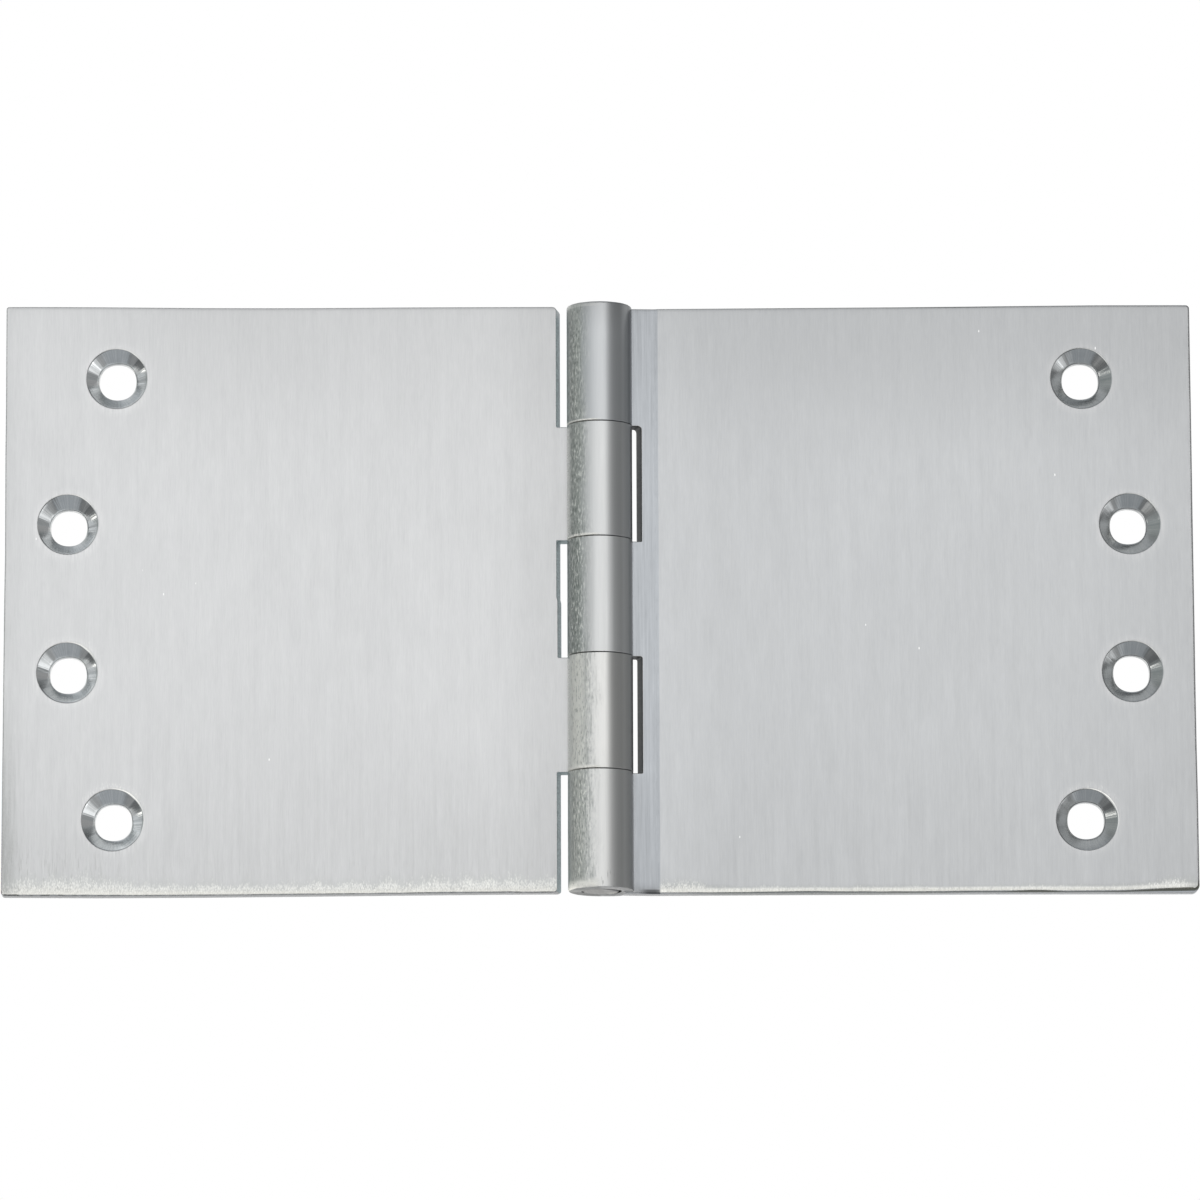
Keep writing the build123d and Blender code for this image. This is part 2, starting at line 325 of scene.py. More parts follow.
def plate_mesh(leaf):
    """Closed mesh of one leaf without its knuckles, in millimetres."""
    ring = outline(leaf)
    n = len(ring)
    P = np.array([r[0] for r in ring])
    M = np.array([r[1] for r in ring])
    RF = np.array([r[2] for r in ring])
    LEAN = np.array([r[3] for r in ring])
    kinds = [r[4] for r in ring]
    RB = np.array([0.20 if k in ("bottom", "top", "outer") else 0.07 for k in kinds])

    verts, faces, mats = [], [], []

    def push(u, z, y):
        start = len(verts)
        for a, b, c in zip(u, z, y):
            verts.append((leaf.sign * a, c, b))
        return list(range(start, len(verts)))

    wide = np.array([r[5] for r in ring])
    rings = []
    flat = P - wide[:, None] * M
    rings.append((flat, YF + leaf.drop(flat[:, 0], flat[:, 1])))
    for k in range(0, 7):
        a = math.radians(90.0 * k / 6)
        q = P - (RF * (1 - math.sin(a)))[:, None] * M
        y = YF + leaf.drop(q[:, 0], q[:, 1]) + RF * (1 - math.cos(a))
        q = q.copy()
        q[:, 0] -= LEAN * np.clip((y - YF) / LEAF_T, 0, 1)
        rings.append((q, y))
    for f in (0.45, 0.72):
        y = np.full(n, YF + LEAF_T * f)
        q = P.copy()
        q[:, 0] -= LEAN * f
        rings.append((q, y))
    for k in range(0, 5):
        a = math.radians(90.0 * k / 4)
        q = P - (RB * (1 - math.cos(a)))[:, None] * M
        y = YB - RB * (1 - math.sin(a))
        q = q.copy()
        q[:, 0] -= LEAN * np.clip((y - YF) / LEAF_T, 0, 1)
        rings.append((q, y))
    q = P - wide[:, None] * M
    q[:, 0] -= LEAN
    rings.append((q, np.full(n, YB)))

    ids = [push(q[:, 0], q[:, 1], y) for q, y in rings]
    for k in range(len(ids) - 1):
        for i in range(n):
            j = (i + 1) % n
            faces.append((ids[k][i], ids[k][j], ids[k + 1][j], ids[k + 1][i]))
            if k == 0 or k == len(ids) - 2:
                mats.append(M_FACE)
            elif kinds[i] in ("notch_h", "notch_v") and k >= 3:
                mats.append(M_NOTCH)
            else:
                mats.append(M_EDGE)

    count = 360
    fronts, backs = [], []
    for h in range(4):
        loops = hole_loops(leaf, h, count)
        hid = [push(u, z, y) for u, z, y in loops]
        for k in range(len(hid) - 1):
            for i in range(count):
                j = (i + 1) % count
                faces.append((hid[k][i], hid[k + 1][i], hid[k + 1][j], hid[k][j]))
                mats.append(M_FACE if k < 4 or k > len(hid) - 3 else M_SINK)
        fronts.append((hid[0], np.c_[loops[0][0], loops[0][1]]))
        backs.append((hid[-1], np.c_[loops[-1][0], loops[-1][1]]))

    def fill(outer_ids, outer_xy, holes, y_of, spacing, lines, front):
        coords, index, edges = [], [], []

        def loop(idl, xy):
            s = len(coords)
            for a, b in zip(idl, xy):
                coords.append((float(b[0]), float(b[1])))
                index.append(a)
            m = len(idl)
            edges.extend((s + i, s + (i + 1) % m) for i in range(m))

        loop(outer_ids, outer_xy)
        for idl, xy in holes:
            loop(idl, xy)
        for uu in lines:
            # straight lines of points that hold the relief's step
            ends = sorted(float(p[1]) for p in outer_xy if abs(p[0] - uu) < 0.02)
            if len(ends) < 2:
                continue
            lo, hi = ends[0], ends[-1]
            zz = np.linspace(lo, hi, int((hi - lo) / 1.2))[1:-1]
            u_ = np.full_like(zz, uu)
            new = push(u_, zz, y_of(u_, zz))
            s = len(coords)
            for a, z_ in zip(new, zz):
                coords.append((uu, float(z_)))
                index.append(a)
            edges.extend((s + i, s + i + 1) for i in range(len(new) - 1))
        gu = np.arange(WEB + 0.4, SIDE, spacing)
        gz = np.arange(-TOP + 0.3, TOP, spacing)
        rows = []
        for i, z_ in enumerate(gz):
            for u_ in gu + (spacing / 2 if i % 2 else 0.0):
                rows.append((u_, z_))
        if front:
            for u_ in np.arange(WEB + 0.4, SIDE, 0.45):
                for d_ in (0.75, 1.05, 1.4, 1.85, 2.4, 3.1):
                    rows.append((u_, -TOP + d_))
                    if d_ < 2:
                        rows.append((u_, TOP - d_))
        pts = np.array(rows)
        keep = inside_poly(pts[:, 0], pts[:, 1], np.asarray(outer_xy))
        allb = np.concatenate([np.asarray(outer_xy)] + [xy for _, xy in holes])
        for k in range(0, len(pts), 2000):
            part = pts[k:k + 2000]
            dist = np.sqrt(((part[:, None, :] - allb[None, :, :]) ** 2).sum(2)).min(1)
            keep[k:k + 2000] &= dist > 0.24
        for (cu, cz), (_, xy) in zip(HOLES, holes):
            rad = np.hypot(xy[0, 0] - cu, xy[0, 1] - cz) + 0.2
            keep &= np.hypot(pts[:, 0] - cu, pts[:, 1] - cz) > rad
        for uu in lines:
            keep &= np.abs(pts[:, 0] - uu) > 0.22
        pts = pts[keep]
        if front:
            # thin out the coarse grid where the fine rows near the ends lie
            key = set()
            sel = []
            for p in pts:
                c = (round(p[0] / 0.30), round(p[1] / 0.26))
                if c in key:
                    continue
                key.add(c)
                sel.append(p)
            pts = np.array(sel)
        new = push(pts[:, 0], pts[:, 1], y_of(pts[:, 0], pts[:, 1]))
        for a, p in zip(new, pts):
            coords.append((float(p[0]), float(p[1])))
            index.append(a)
        res = delaunay_2d_cdt([Vector(c) for c in coords], edges, [], 1, 1e-7)
        rv, rf, ov = res[0], res[2], res[3]
        back = []
        for k, v in enumerate(rv):
            if ov[k]:
                back.append(index[ov[k][0]])
            else:
                back.append(push([v[0]], [v[1]], [float(y_of(np.array([v[0]]), np.array([v[1]]))[0])])[0])
        cen = np.array([np.mean([(rv[i][0], rv[i][1]) for i in f], axis=0) for f in rf])
        good = inside_poly(cen[:, 0], cen[:, 1], np.asarray(outer_xy))
        for _, xy in holes:
            good &= ~inside_poly(cen[:, 0], cen[:, 1], xy)
        for ok, f in zip(good, rf):
            if ok:
                t = [back[i] for i in f]
                faces.append(tuple(t if front else t[::-1]))
                mats.append(M_FACE)

    lines = (9.84, 9.96) if leaf.sign > 0 else ()
    fill(ids[0], rings[0][0], fronts, lambda u, z: YF + leaf.drop(u, z), 1.5, lines, True)
    fill(ids[-1], rings[-1][0], backs, lambda u, z: np.full(len(u), YB), 5.0, (), False)
    return verts, faces, mats


TURN = np.linspace(0, 2 * np.pi, 240, endpoint=False)
SIGNED = np.where(TURN > np.pi, TURN - 2 * np.pi, TURN)     # 0 in front, right positive


def lathe(rows, closed=True):
    """Turned solid about the pin axis from rows of (radius, z, material), where
    radius and z may change around the turn."""
    n = len(TURN)
    verts, faces, mats = [], [], []
    for r, z, _ in rows:
        r = np.broadcast_to(np.asarray(r, float), TURN.shape)
        z = np.broadcast_to(np.asarray(z, float), TURN.shape)
        verts += [(float(a * math.sin(t)), float(-a * math.cos(t)), float(h))
                  for a, t, h in zip(r, TURN, z)]
    m = len(rows)
    for k in range(m if closed else m - 1):
        k2 = (k + 1) % m
        for i in range(n):
            j = (i + 1) % n
            faces.append((k * n + i, k * n + j, k2 * n + j, k2 * n + i))
            mats.append(rows[k][2])
    return verts, faces, mats


def knuckle(z0, z1, bore, low, top, seed, ripple=0.006, low_mouth=False, top_mouth=False):
    """One knuckle as a bored tube. low and top are the rim radii, each given as
    (worn left half, rest); a mouth opens the bore at an end of the barrel."""
    rng = np.random.default_rng(seed)
    ph = rng.uniform(0, 2 * np.pi, 8)
    nick = noise1(seed, 0.6)
    s = SIGNED * BARREL_R
    left = smooth(0.12, -0.30, SIGNED) * smooth(-2.6, -1.9, SIGNED)

    def rim(pair):
        r = pair[1] + (pair[0] - pair[1]) * left
        return r * (1 + 0.16 * nick(s + 40 * pair[0]))

    def skin(z):
        w = (np.sin(s / 1.35 + 0.9 * np.sin(z / 4.1 + ph[0]) + ph[1]) * 0.5
             + np.sin(s / 0.8 + 0.7 * np.sin(z / 2.6 + ph[2]) + ph[3]) * 0.22
             + np.sin(z / 3.3 + ph[4] + 0.5 * np.sin(s + ph[5])) * 0.28)
        return BARREL_R - 0.004 + ripple * (w - 1.0)

    rl, rt = rim((low[1] + 0.10 if low[0] > low[1] else low[1], low[1])), rim(top)
    worn = low[0] * left * (1 + 0.15 * nick(s * 0.7 + 11)) * (0.30 + 0.70 * smooth(-1.55, -1.10, SIGNED))

    def roll(z):
        """Shallow worn roll above the lower rim: about four times as tall as deep."""
        if low[0] <= low[1]:
            return 0.0
        return 0.30 * worn * np.clip(1 - (z - z0) / np.maximum(1.45 * worn, 0.05), 0, 1) ** 2
    mid = 0.5 * (bore + BARREL_R)
    rows = []
    # inside a mouth the bore walls take the dark notch material: painted shade in the gap
    if low_mouth:
        gap = 0.005 + 0.36 * np.exp(-((SIGNED - 1.40) / 0.55) ** 2) + 0.24 * np.exp(-((SIGNED + 1.78) / 0.15) ** 2)
        rows += [(bore, z0 + 1.2, M_NOTCH), (bore + 0.8 * gap, z0 + 0.35, M_NOTCH), (bore + gap, z0 + 0.03, M_BARREL),
                 (bore + gap + 0.06, z0, M_BARREL)]
    else:
        rows += [(bore, z0 + 0.08, M_BARREL), (bore + 0.08, z0, M_BARREL)]
    rows.append((mid, z0, M_BARREL))
    for k in range(9):
        a = math.radians(90.0 * k / 8)
        zz = z0 + rl * (1 - math.cos(a))
        rows.append((skin(z0) - roll(zz) - rl * (1 - math.sin(a)), zz, M_BARREL))
    lo, hi = z0 + (low[1] + 0.10) * 1.25 + 0.06, z1 - max(top) * 1.2 - 0.1
    near = [lo + 0.12 * k for k in range(14)] if low[0] > low[1] else []
    for z in near + list(np.linspace(lo + 0.12 * len(near), hi, int((hi - lo) / 0.8))):
        rows.append((skin(float(z)) - roll(float(z)), float(z), M_BARREL))
    for k in range(9):
        a = math.radians(90.0 * k / 8)
        rows.append((skin(z1) - rt * (1 - math.cos(a)), z1 - rt * (1 - math.sin(a)), M_BARREL))
    rows.append((mid, z1, M_BARREL))
    if top_mouth:
        gap = 0.10 + 0.14 * np.exp(-((SIGNED - 2.2) / 0.7) ** 2)
        rows += [(bore + gap + 0.06, z1, M_BARREL), (bore + gap, z1 - 0.03, M_NOTCH),
                 (bore + 0.55 * gap, z1 - 0.5, M_NOTCH), (bore, z1 - 1.2, M_NOTCH)]
    else:
        rows += [(bore + 0.08, z1, M_BARREL), (bore, z1 - 0.08, M_BARREL)]
    return lathe(rows)


def filed(mesh):
    """The lower end of the barrel, filed a little out of square."""
    v, f, m = mesh
    out = []
    for x, y, z in v:
        w = min(1.0, max(0.0, 1 - (z - BARREL_LOW) / 3.0))
        corner = min(1.0, max(0.0, (x / BARREL_R - 0.1) / 0.5)) * min(1.0, max(0.0, y / BARREL_R / 0.5))
        out.append((x, y, z + w * (0.205 - 0.125 * y / BARREL_R - 0.10 * corner)))
    return out, f, m


def mesh_object(name, parts, materials):
    """One object in metres from (verts, faces, material index list) parts."""
    verts, faces, mats = [], [], []
    for v, f, m in parts:
        s = len(verts)
        verts += v
        faces += [tuple(i + s for i in q) for q in f]
        mats += m if isinstance(m, list) else [m] * len(f)
    me = bpy.data.meshes.new(name)
    me.from_pydata(verts, [], faces)
    for mat in materials:
        me.materials.append(mat)
    me.polygons.foreach_set("material_index", mats)
    bm = bmesh.new()
    bm.from_mesh(me)
    bmesh.ops.recalc_face_normals(bm, faces=bm.faces)
    bm.to_mesh(me)
    bm.free()
    ob = bpy.data.objects.new(name, me)
    bpy.context.scene.collection.objects.link(ob)
    return ob


def union(a, b, name):
    """a with b fused into it by an exact boolean; both inputs are removed."""
    mod = a.modifiers.new("fuse", "BOOLEAN")
    mod.operation = "UNION"
    mod.solver = "EXACT"
    mod.object = b
    bpy.context.view_layer.update()
    dg = bpy.context.evaluated_depsgraph_get()
    me = bpy.data.meshes.new_from_object(a.evaluated_get(dg))
    for o in (a, b):
        old = o.data
        bpy.data.objects.remove(o)
        bpy.data.meshes.remove(old)
    me.name = name
    ob = bpy.data.objects.new(name, me)
    bpy.context.scene.collection.objects.link(ob)
    return ob


def finish_mesh(ob, sharp_deg=32.0):
    """Scale to metres, weld, shade smooth with crisp edges kept, and lay out
    the surface coordinates that the brushing follows."""
    me = ob.data
    bm = bmesh.new()
    bm.from_mesh(me)
    bmesh.ops.remove_doubles(bm, verts=bm.verts, dist=1e-4)
    bmesh.ops.dissolve_degenerate(bm, dist=1e-5, edges=bm.edges)
    bmesh.ops.scale(bm, vec=(0.001, 0.001, 0.001), verts=bm.verts)
    bmesh.ops.recalc_face_normals(bm, faces=bm.faces)
    uv = bm.loops.layers.uv.verify()
    limit = math.radians(sharp_deg)
    for e in bm.edges:
        if len(e.link_faces) == 2:
            e.smooth = e.calc_face_angle(0.0) < limit
    for f in bm.faces:
        f.smooth = True
        c = f.calc_center_median()
        if f.material_index == M_BARREL:
            mid = math.atan2(c.x, -c.y)
            for l in f.loops:
                a = math.atan2(l.vert.co.x, -l.vert.co.y)
                a = mid + (a - mid + math.pi) % (2 * math.pi) - math.pi
                l[uv].uv = (a * 0.055, l.vert.co.z * 10)
        elif f.material_index == M_SINK:
            # around the nearest screw hole
            s = 1 if c.x > 0 else -1
            hu, hz = min(HOLES, key=lambda h: (c.x - s * h[0] * 0.001) ** 2 + (c.z - h[1] * 0.001) ** 2)
            cx, cz = s * hu * 0.001, hz * 0.001
            mid = math.atan2(c.z - cz, c.x - cx)
            for l in f.loops:
                a = math.atan2(l.vert.co.z - cz, l.vert.co.x - cx)
                a = mid + (a - mid + math.pi) % (2 * math.pi) - math.pi
                l[uv].uv = (a * 0.042, l.vert.co.y * 10)
        else:
            for l in f.loops:
                l[uv].uv = (l.vert.co.x * 10 + l.vert.co.y * 2.0, l.vert.co.z * 10)
    open_edges = sum(1 for e in bm.edges if len(e.link_faces) != 2)
    bm.to_mesh(me)
    bm.free()
    print("MESH", ob.name, len(me.vertices), len(me.polygons), "open edges", open_edges)
    return ob


# ------------------------------------------------------------------ materials
class Tree:
    """Short hand for building shader node trees."""

    def __init__(self, tree):
        self.t = tree
        self.t.nodes.clear()

    def add(self, kind, **props):
        n = self.t.nodes.new(kind)
        for k, v in props.items():
            setattr(n, k, v)
        return n

    def put(self, socket, value):
        if isinstance(value, bpy.types.NodeSocket):
            self.t.links.new(value, socket)
        elif value is not None:
            socket.default_value = value

    def math(self, op, a, b=None, c=None, clamp=False):
        n = self.add("ShaderNodeMath", operation=op, use_clamp=clamp)
        for i, v in enumerate((a, b, c)):
            if v is not None:
                self.put(n.inputs[i], v)
        return n.outputs[0]

    def mapr(self, x, a, b, c=0.0, d=1.0, kind="SMOOTHSTEP"):
        n = self.add("ShaderNodeMapRange", interpolation_type=kind, clamp=True)
        for i, v in enumerate((x, a, b, c, d)):
            self.put(n.inputs[i], v)
        return n.outputs[0]

    def mix(self, f, a, b):
        n = self.add("ShaderNodeMix", data_type="FLOAT", clamp_factor=True)
        self.put(n.inputs[0], f)
        self.put(n.inputs[2], a)
        self.put(n.inputs[3], b)
        return n.outputs[0]

    def mixc(self, f, a, b, kind="MIX"):
        n = self.add("ShaderNodeMix", data_type="RGBA", blend_type=kind, clamp_factor=True)
        self.put(n.inputs[0], f)
        self.put(n.inputs[6], a)
        self.put(n.inputs[7], b)
        return n.outputs[2]

    def noise(self, vec, scale, detail=2.0, rough=0.5, dist=0.0):
        n = self.add("ShaderNodeTexNoise", noise_dimensions="3D")
        self.put(n.inputs["Vector"], vec)
        n.inputs["Scale"].default_value = scale
        n.inputs["Detail"].default_value = detail
        n.inputs["Roughness"].default_value = rough
        n.inputs["Distortion"].default_value = dist
        return n.outputs[0]

    def voronoi(self, vec, scale):
        n = self.add("ShaderNodeTexVoronoi", feature="F1")
        self.put(n.inputs["Vector"], vec)
        n.inputs["Scale"].default_value = scale
        return n

    def scale3(self, vec, x, y, z, ox=0.0, oy=0.0, oz=0.0):
        n = self.add("ShaderNodeMapping", vector_type="POINT")
        self.put(n.inputs["Vector"], vec)
        n.inputs["Scale"].default_value = (x, y, z)
        n.inputs["Location"].default_value = (ox, oy, oz)
        return n.outputs[0]

    def sep(self, vec):
        n = self.add("ShaderNodeSeparateXYZ")
        self.put(n.inputs[0], vec)
        return n.outputs[0], n.outputs[1], n.outputs[2]

    def comb(self, x, y, z):
        n = self.add("ShaderNodeCombineXYZ")
        for i, v in enumerate((x, y, z)):
            self.put(n.inputs[i], v)
        return n.outputs[0]

    def bump(self, height, strength, distance, normal=None):
        n = self.add("ShaderNodeBump")
        self.put(n.inputs["Height"], height)
        n.inputs["Strength"].default_value = strength
        n.inputs["Distance"].default_value = distance
        if normal is not None:
            self.put(n.inputs["Normal"], normal)
        return n.outputs[0]


def metal(name, aniso, tangent=True):
    mat = bpy.data.materials.new(name)
    mat.use_nodes = True
    t = Tree(mat.node_tree)
    out = t.add("ShaderNodeOutputMaterial")
    bsdf = t.add("ShaderNodeBsdfPrincipled")
    t.t.links.new(bsdf.outputs[0], out.inputs[0])
    bsdf.inputs["Metallic"].default_value = 1.0
    bsdf.inputs["Anisotropic"].default_value = aniso
    if tangent:
        tg = t.add("ShaderNodeTangent", direction_type="UV_MAP")
        t.put(bsdf.inputs["Tangent"], tg.outputs[0])
    obj = t.add("ShaderNodeTexCoord").outputs["Object"]
    return mat, t, bsdf, obj


def leaf_metal(name, sign, painted_light_level):
    """Satin plated face, brushed along the pin, frosted along its lower edge.
    Its level scales the whole face as painted light, higher on the door leaf than on the frame leaf; sign tells the
    two leaves apart."""
    mat, t, b, obj = metal(name, 0.55)
    x, y, z = t.sep(obj)
    u = t.math("MULTIPLY", x, float(sign))
    front = t.mapr(y, 0.0012, 0.0022, 1.0, 0.0)
    fine = t.noise(t.scale3(obj, 6200, 6200, 240), 1.0, 3.0, 0.55)
    broad = t.noise(t.scale3(obj, 1300, 1300, 45, 3.1), 1.0, 2.0, 0.5)
    hair = t.noise(t.scale3(obj, 9500, 9500, 620, 7.7), 1.0, 2.0, 0.6)
    cloud = t.noise(t.scale3(obj, 1.0, 1.0, 1.0, 0.013 * sign), 30.0, 2.0, 0.5)
    sweep = t.noise(t.scale3(obj, 420, 420, 105, 1.3 * sign), 1.0, 3.0, 0.6)
    lines = t.math("ADD", t.math("MULTIPLY", fine, 0.46),
                   t.math("ADD", t.math("MULTIPLY", broad, 0.20), t.math("MULTIPLY", hair, 0.42)))
    # frost: a bright line right at the lower edge, thinning upwards into sparkles
    if sign < 0:
        edge = t.mapr(u, 0.015, 0.080, -0.04952, -0.04995, "LINEAR")
        tall = t.math("ADD", t.mapr(u, 0.074, 0.084, 0.0, 0.0009), t.mapr(u, 0.045, 0.030, 0.0, 0.0005))
        tall = t.math("ADD", tall, 0.0016)
    else:
        edge = t.math("ADD", t.mapr(u, 0.010, 0.045, -0.04966, -0.04956, "LINEAR"), t.mapr(u, 0.050, 0.070, 0.0, 0.0001))
        edge = t.math("ADD", edge, t.mapr(u, 0.086, 0.099, 0.0, 0.00056))
        tall = t.math("ADD", t.mapr(u, 0.088, 0.099, 0.0, 0.0009), t.mapr(u, 0.026, 0.012, 0.0, 0.0007))
        tall = t.math("ADD", tall, t.mapr(u, 0.040, 0.060, 0.0007, 0.0007))
    low = t.math("SUBTRACT", z, edge)
    blade = t.noise(t.scale3(obj, 2900, 2900, 260, 1.7), 1.0, 3.0, 0.7)
    drift = t.noise(t.scale3(obj, 240, 240, 90, 5.2), 1.0, 2.0, 0.5)
    reach = t.math("MULTIPLY", tall, t.math("ADD", t.math("MULTIPLY_ADD", blade, 0.8, 0.60),
                                            t.mapr(drift, 0.3, 0.7, -0.22, 0.22)))
    high = t.math("DIVIDE", low, t.math("MAXIMUM", reach, 0.0002))
    grit = t.noise(t.scale3(obj, 6500, 6500, 2700, 9.0), 1.0, 1.0, 0.6)
    cover = t.mapr(high, -0.10, 2.10, 1.0, 0.0)
    cover = t.math("MULTIPLY", cover, t.math("MULTIPLY_ADD", cover, 0.75, 0.25))
    # worn off again close to the outer corner
    cover = t.math("MULTIPLY", cover, t.mapr(u, 0.0958, 0.0995, 1.0, 0.35))
    if sign < 0:
        burred = ((HOLES[2], 0.18), (HOLES[3], 0.34))
    else:
        burred = ((HOLES[3], 0.16),)
    for (hu, hz), most in burred:
        d = t.add("ShaderNodeVectorMath", operation="DISTANCE")
        t.put(d.inputs[0], t.comb(u, 0.0, z))
        d.inputs[1].default_value = (hu * 0.001, 0.0, hz * 0.001)
        halo = t.math("MULTIPLY", t.mapr(d.outputs["Value"], 0.0050, 0.0076, most, 0.0), t.mapr(z, (hz + 1.5) * 0.001, (hz + 4.5) * 0.001))
        cover = t.math("MAXIMUM", cover, t.math("MULTIPLY", halo, front))
    frost = None
    for size, stretch, offset, share in ((4600.0, 0.42, 0.0, 1.0), (7200.0, 0.34, 0.4, 0.85)):
        cell = t.voronoi(t.scale3(obj, 1.0, 1.0, stretch, offset), size)
        lot = t.sep(cell.outputs["Color"])[0]
        hit = t.mapr(t.math("SUBTRACT", cover, lot), 0.0, 0.09, 0.0, share)
        hit = t.math("MULTIPLY", hit, t.mapr(cell.outputs["Distance"], 0.30, 0.75, 1.0, 0.15))
        hit = t.math("MULTIPLY", hit, t.mapr(cover, 0.02, 0.90, 0.16, 0.92))
        frost = hit if frost is None else t.math("MAXIMUM", frost, hit)
    # a bright line right at the edge
    if sign < 0:
        rule = t.math("MULTIPLY", t.mapr(low, 0.00022, 0.00062, 0.80, 0.0), t.mapr(blade, 0.35, 0.60, 0.25, 1.0))
    else:
        rule = t.math("MULTIPLY", t.mapr(low, 0.00030, 0.00085, 1.0, 0.0), t.mapr(blade, 0.30, 0.55, 0.35, 1.0))
    frost = t.math("MAXIMUM", frost, t.math("MULTIPLY", rule, t.mapr(u, 0.0965, 0.0995, 1.0, 0.35)))
    if sign > 0:
        # none on the relief beside the barrel
        frost = t.math("MULTIPLY", frost, t.mapr(u, 0.0096, 0.0104, 0.0, 1.0))
    spark = t.mapr(grit, 0.42, 0.58, 0.0, 1.0)
    # sparse bright specks
    vor = t.voronoi(t.scale3(obj, 1.0, 1.0, 0.45), 560.0)
    dot = t.mapr(vor.outputs["Distance"], 0.035, 0.075, 1.0, 0.0)
    pick = t.mapr(t.sep(vor.outputs["Color"])[0], 0.955, 0.965, 0.0, 1.0)
    speck = t.math("MULTIPLY", dot, pick)
    blue = 0.011 if sign > 0 else 0.001
    lo = tuple(0.675 * painted_light_level * c for c in (0.992 - blue, 0.998, 1.006 + blue)) + (1,)
    hi = tuple(0.730 * painted_light_level * c for c in (0.995 - blue, 0.999, 1.003 + blue)) + (1,)
    col = t.mixc(t.mapr(lines, 0.36, 0.64, 0.0, 1.0, "LINEAR"), lo, hi)
    # painted shade: the face is a little darker towards the upper and lower ends
    mid = t.math("MULTIPLY", t.mapr(z, 0.0505, 0.020, 0.0, 1.0), t.mapr(z, -0.052, -0.014, 0.02 if sign < 0 else 0.50, 1.0))
    grain_and_painted_shade = t.math("MULTIPLY_ADD", mid, 0.085, 0.92)
    grain_and_painted_shade = t.math("MULTIPLY", grain_and_painted_shade, t.mapr(cloud, 0.3, 0.7, 0.982, 1.016, "LINEAR"))
    calm = t.mapr(z, 0.024, 0.040, 1.0, 0.45)
    grain_and_painted_shade = t.math("MULTIPLY", grain_and_painted_shade, t.math("MULTIPLY_ADD", t.mapr(sweep, 0.25, 0.75, -0.028, 0.026, "LINEAR"), calm, 1.0))
    # combed more coarsely towards the lower edge
    comb = t.noise(t.scale3(obj, 1900, 1900, 60, 4.6), 1.0, 3.0, 0.6)
    grain_and_painted_shade = t.math("MULTIPLY", grain_and_painted_shade, t.math("MULTIPLY_ADD", t.mapr(comb, 0.28, 0.72, -0.040, 0.030, "LINEAR"),
                                           t.mapr(z, -0.016, -0.046, 0.22, 1.0), 1.0))
    if sign > 0:
        # relief beside the barrel, cut in a second pass; its darker, a little bluer colour is painted shade
        band = t.mapr(u, 0.00985, 0.00995, 1.0, 0.0)
        col = t.mixc(t.math("MULTIPLY", band, 0.85), col, t.mixc(1.0, col, (0.84, 0.865, 0.90, 1), "MULTIPLY"))
        # painted light and shade on this leaf: darker towards the outer edge, lighter just past the relief's step,
        # darker towards the top and on the relief's lower part
        grain_and_painted_shade = t.math("MULTIPLY", grain_and_painted_shade, t.mapr(u, 0.070, 0.100, 1.0, 0.928))
        grain_and_painted_shade = t.math("MULTIPLY", grain_and_painted_shade, t.math("MULTIPLY_ADD", t.math("SUBTRACT", 1.0, band), t.mapr(u, 0.010, 0.020, 0.042, 0.0), 1.0))
        drawn = t.noise(t.scale3(obj, 3600, 3600, 75, 9.4), 1.0, 3.0, 0.6)
        grain_and_painted_shade = t.math("MULTIPLY", grain_and_painted_shade, t.math("MULTIPLY_ADD", band, t.mapr(drawn, 0.30, 0.70, -0.10, 0.09, "LINEAR"), 1.0))
        grain_and_painted_shade = t.math("MULTIPLY", grain_and_painted_shade, t.mapr(z, 0.022, 0.046, 1.0, 0.965))
        grain_and_painted_shade = t.math("MULTIPLY", grain_and_painted_shade, t.mix(t.math("MULTIPLY", band, t.mapr(z, -0.029, -0.031)), 1.0, 0.945))
    else:
        # painted light and shade on this leaf: darker beside the barrel, lighter in the upper outer corner
        grain_and_painted_shade = t.math("MULTIPLY", grain_and_painted_shade, t.mapr(u, 0.007, 0.020, 0.902, 1.0))
        grain_and_painted_shade = t.math("MULTIPLY", grain_and_painted_shade, t.mix(t.math("MULTIPLY", t.mapr(u, 0.070, 0.098), t.mapr(z, 0.022, 0.045)), 1.0, 1.08))
        # scuffed along the outer edge in the lower half, scratched near the corner
        scuff = t.noise(t.scale3(obj, 2600, 2600, 110, 2.2), 1.0, 3.0, 0.6)
        rub = t.math("MULTIPLY_ADD", t.math("SUBTRACT", scuff, 0.5), 0.0050, u)
        worn = t.math("MULTIPLY", t.mapr(rub, 0.0958, 0.1014, 0.0, 1.0), t.mapr(z, -0.012, -0.042, 0.10, 0.85))
        worn = t.math("MULTIPLY", worn, t.mapr(grit, 0.35, 0.60, 0.75, 1.0))
        col = t.mixc(worn, col, (0.36, 0.37, 0.36, 1))
        scratch = t.noise(t.scale3(obj, 5200, 5200, 420, 6.1), 1.0, 2.0, 0.6)
        scratch = t.math("MULTIPLY", t.mapr(scratch, 0.52, 0.66), t.mapr(u, 0.070, 0.099, 0.10, 0.42))
        col = t.mixc(t.math("MULTIPLY", scratch, t.mapr(z, -0.038, -0.047)), col, (0.36, 0.37, 0.35, 1))
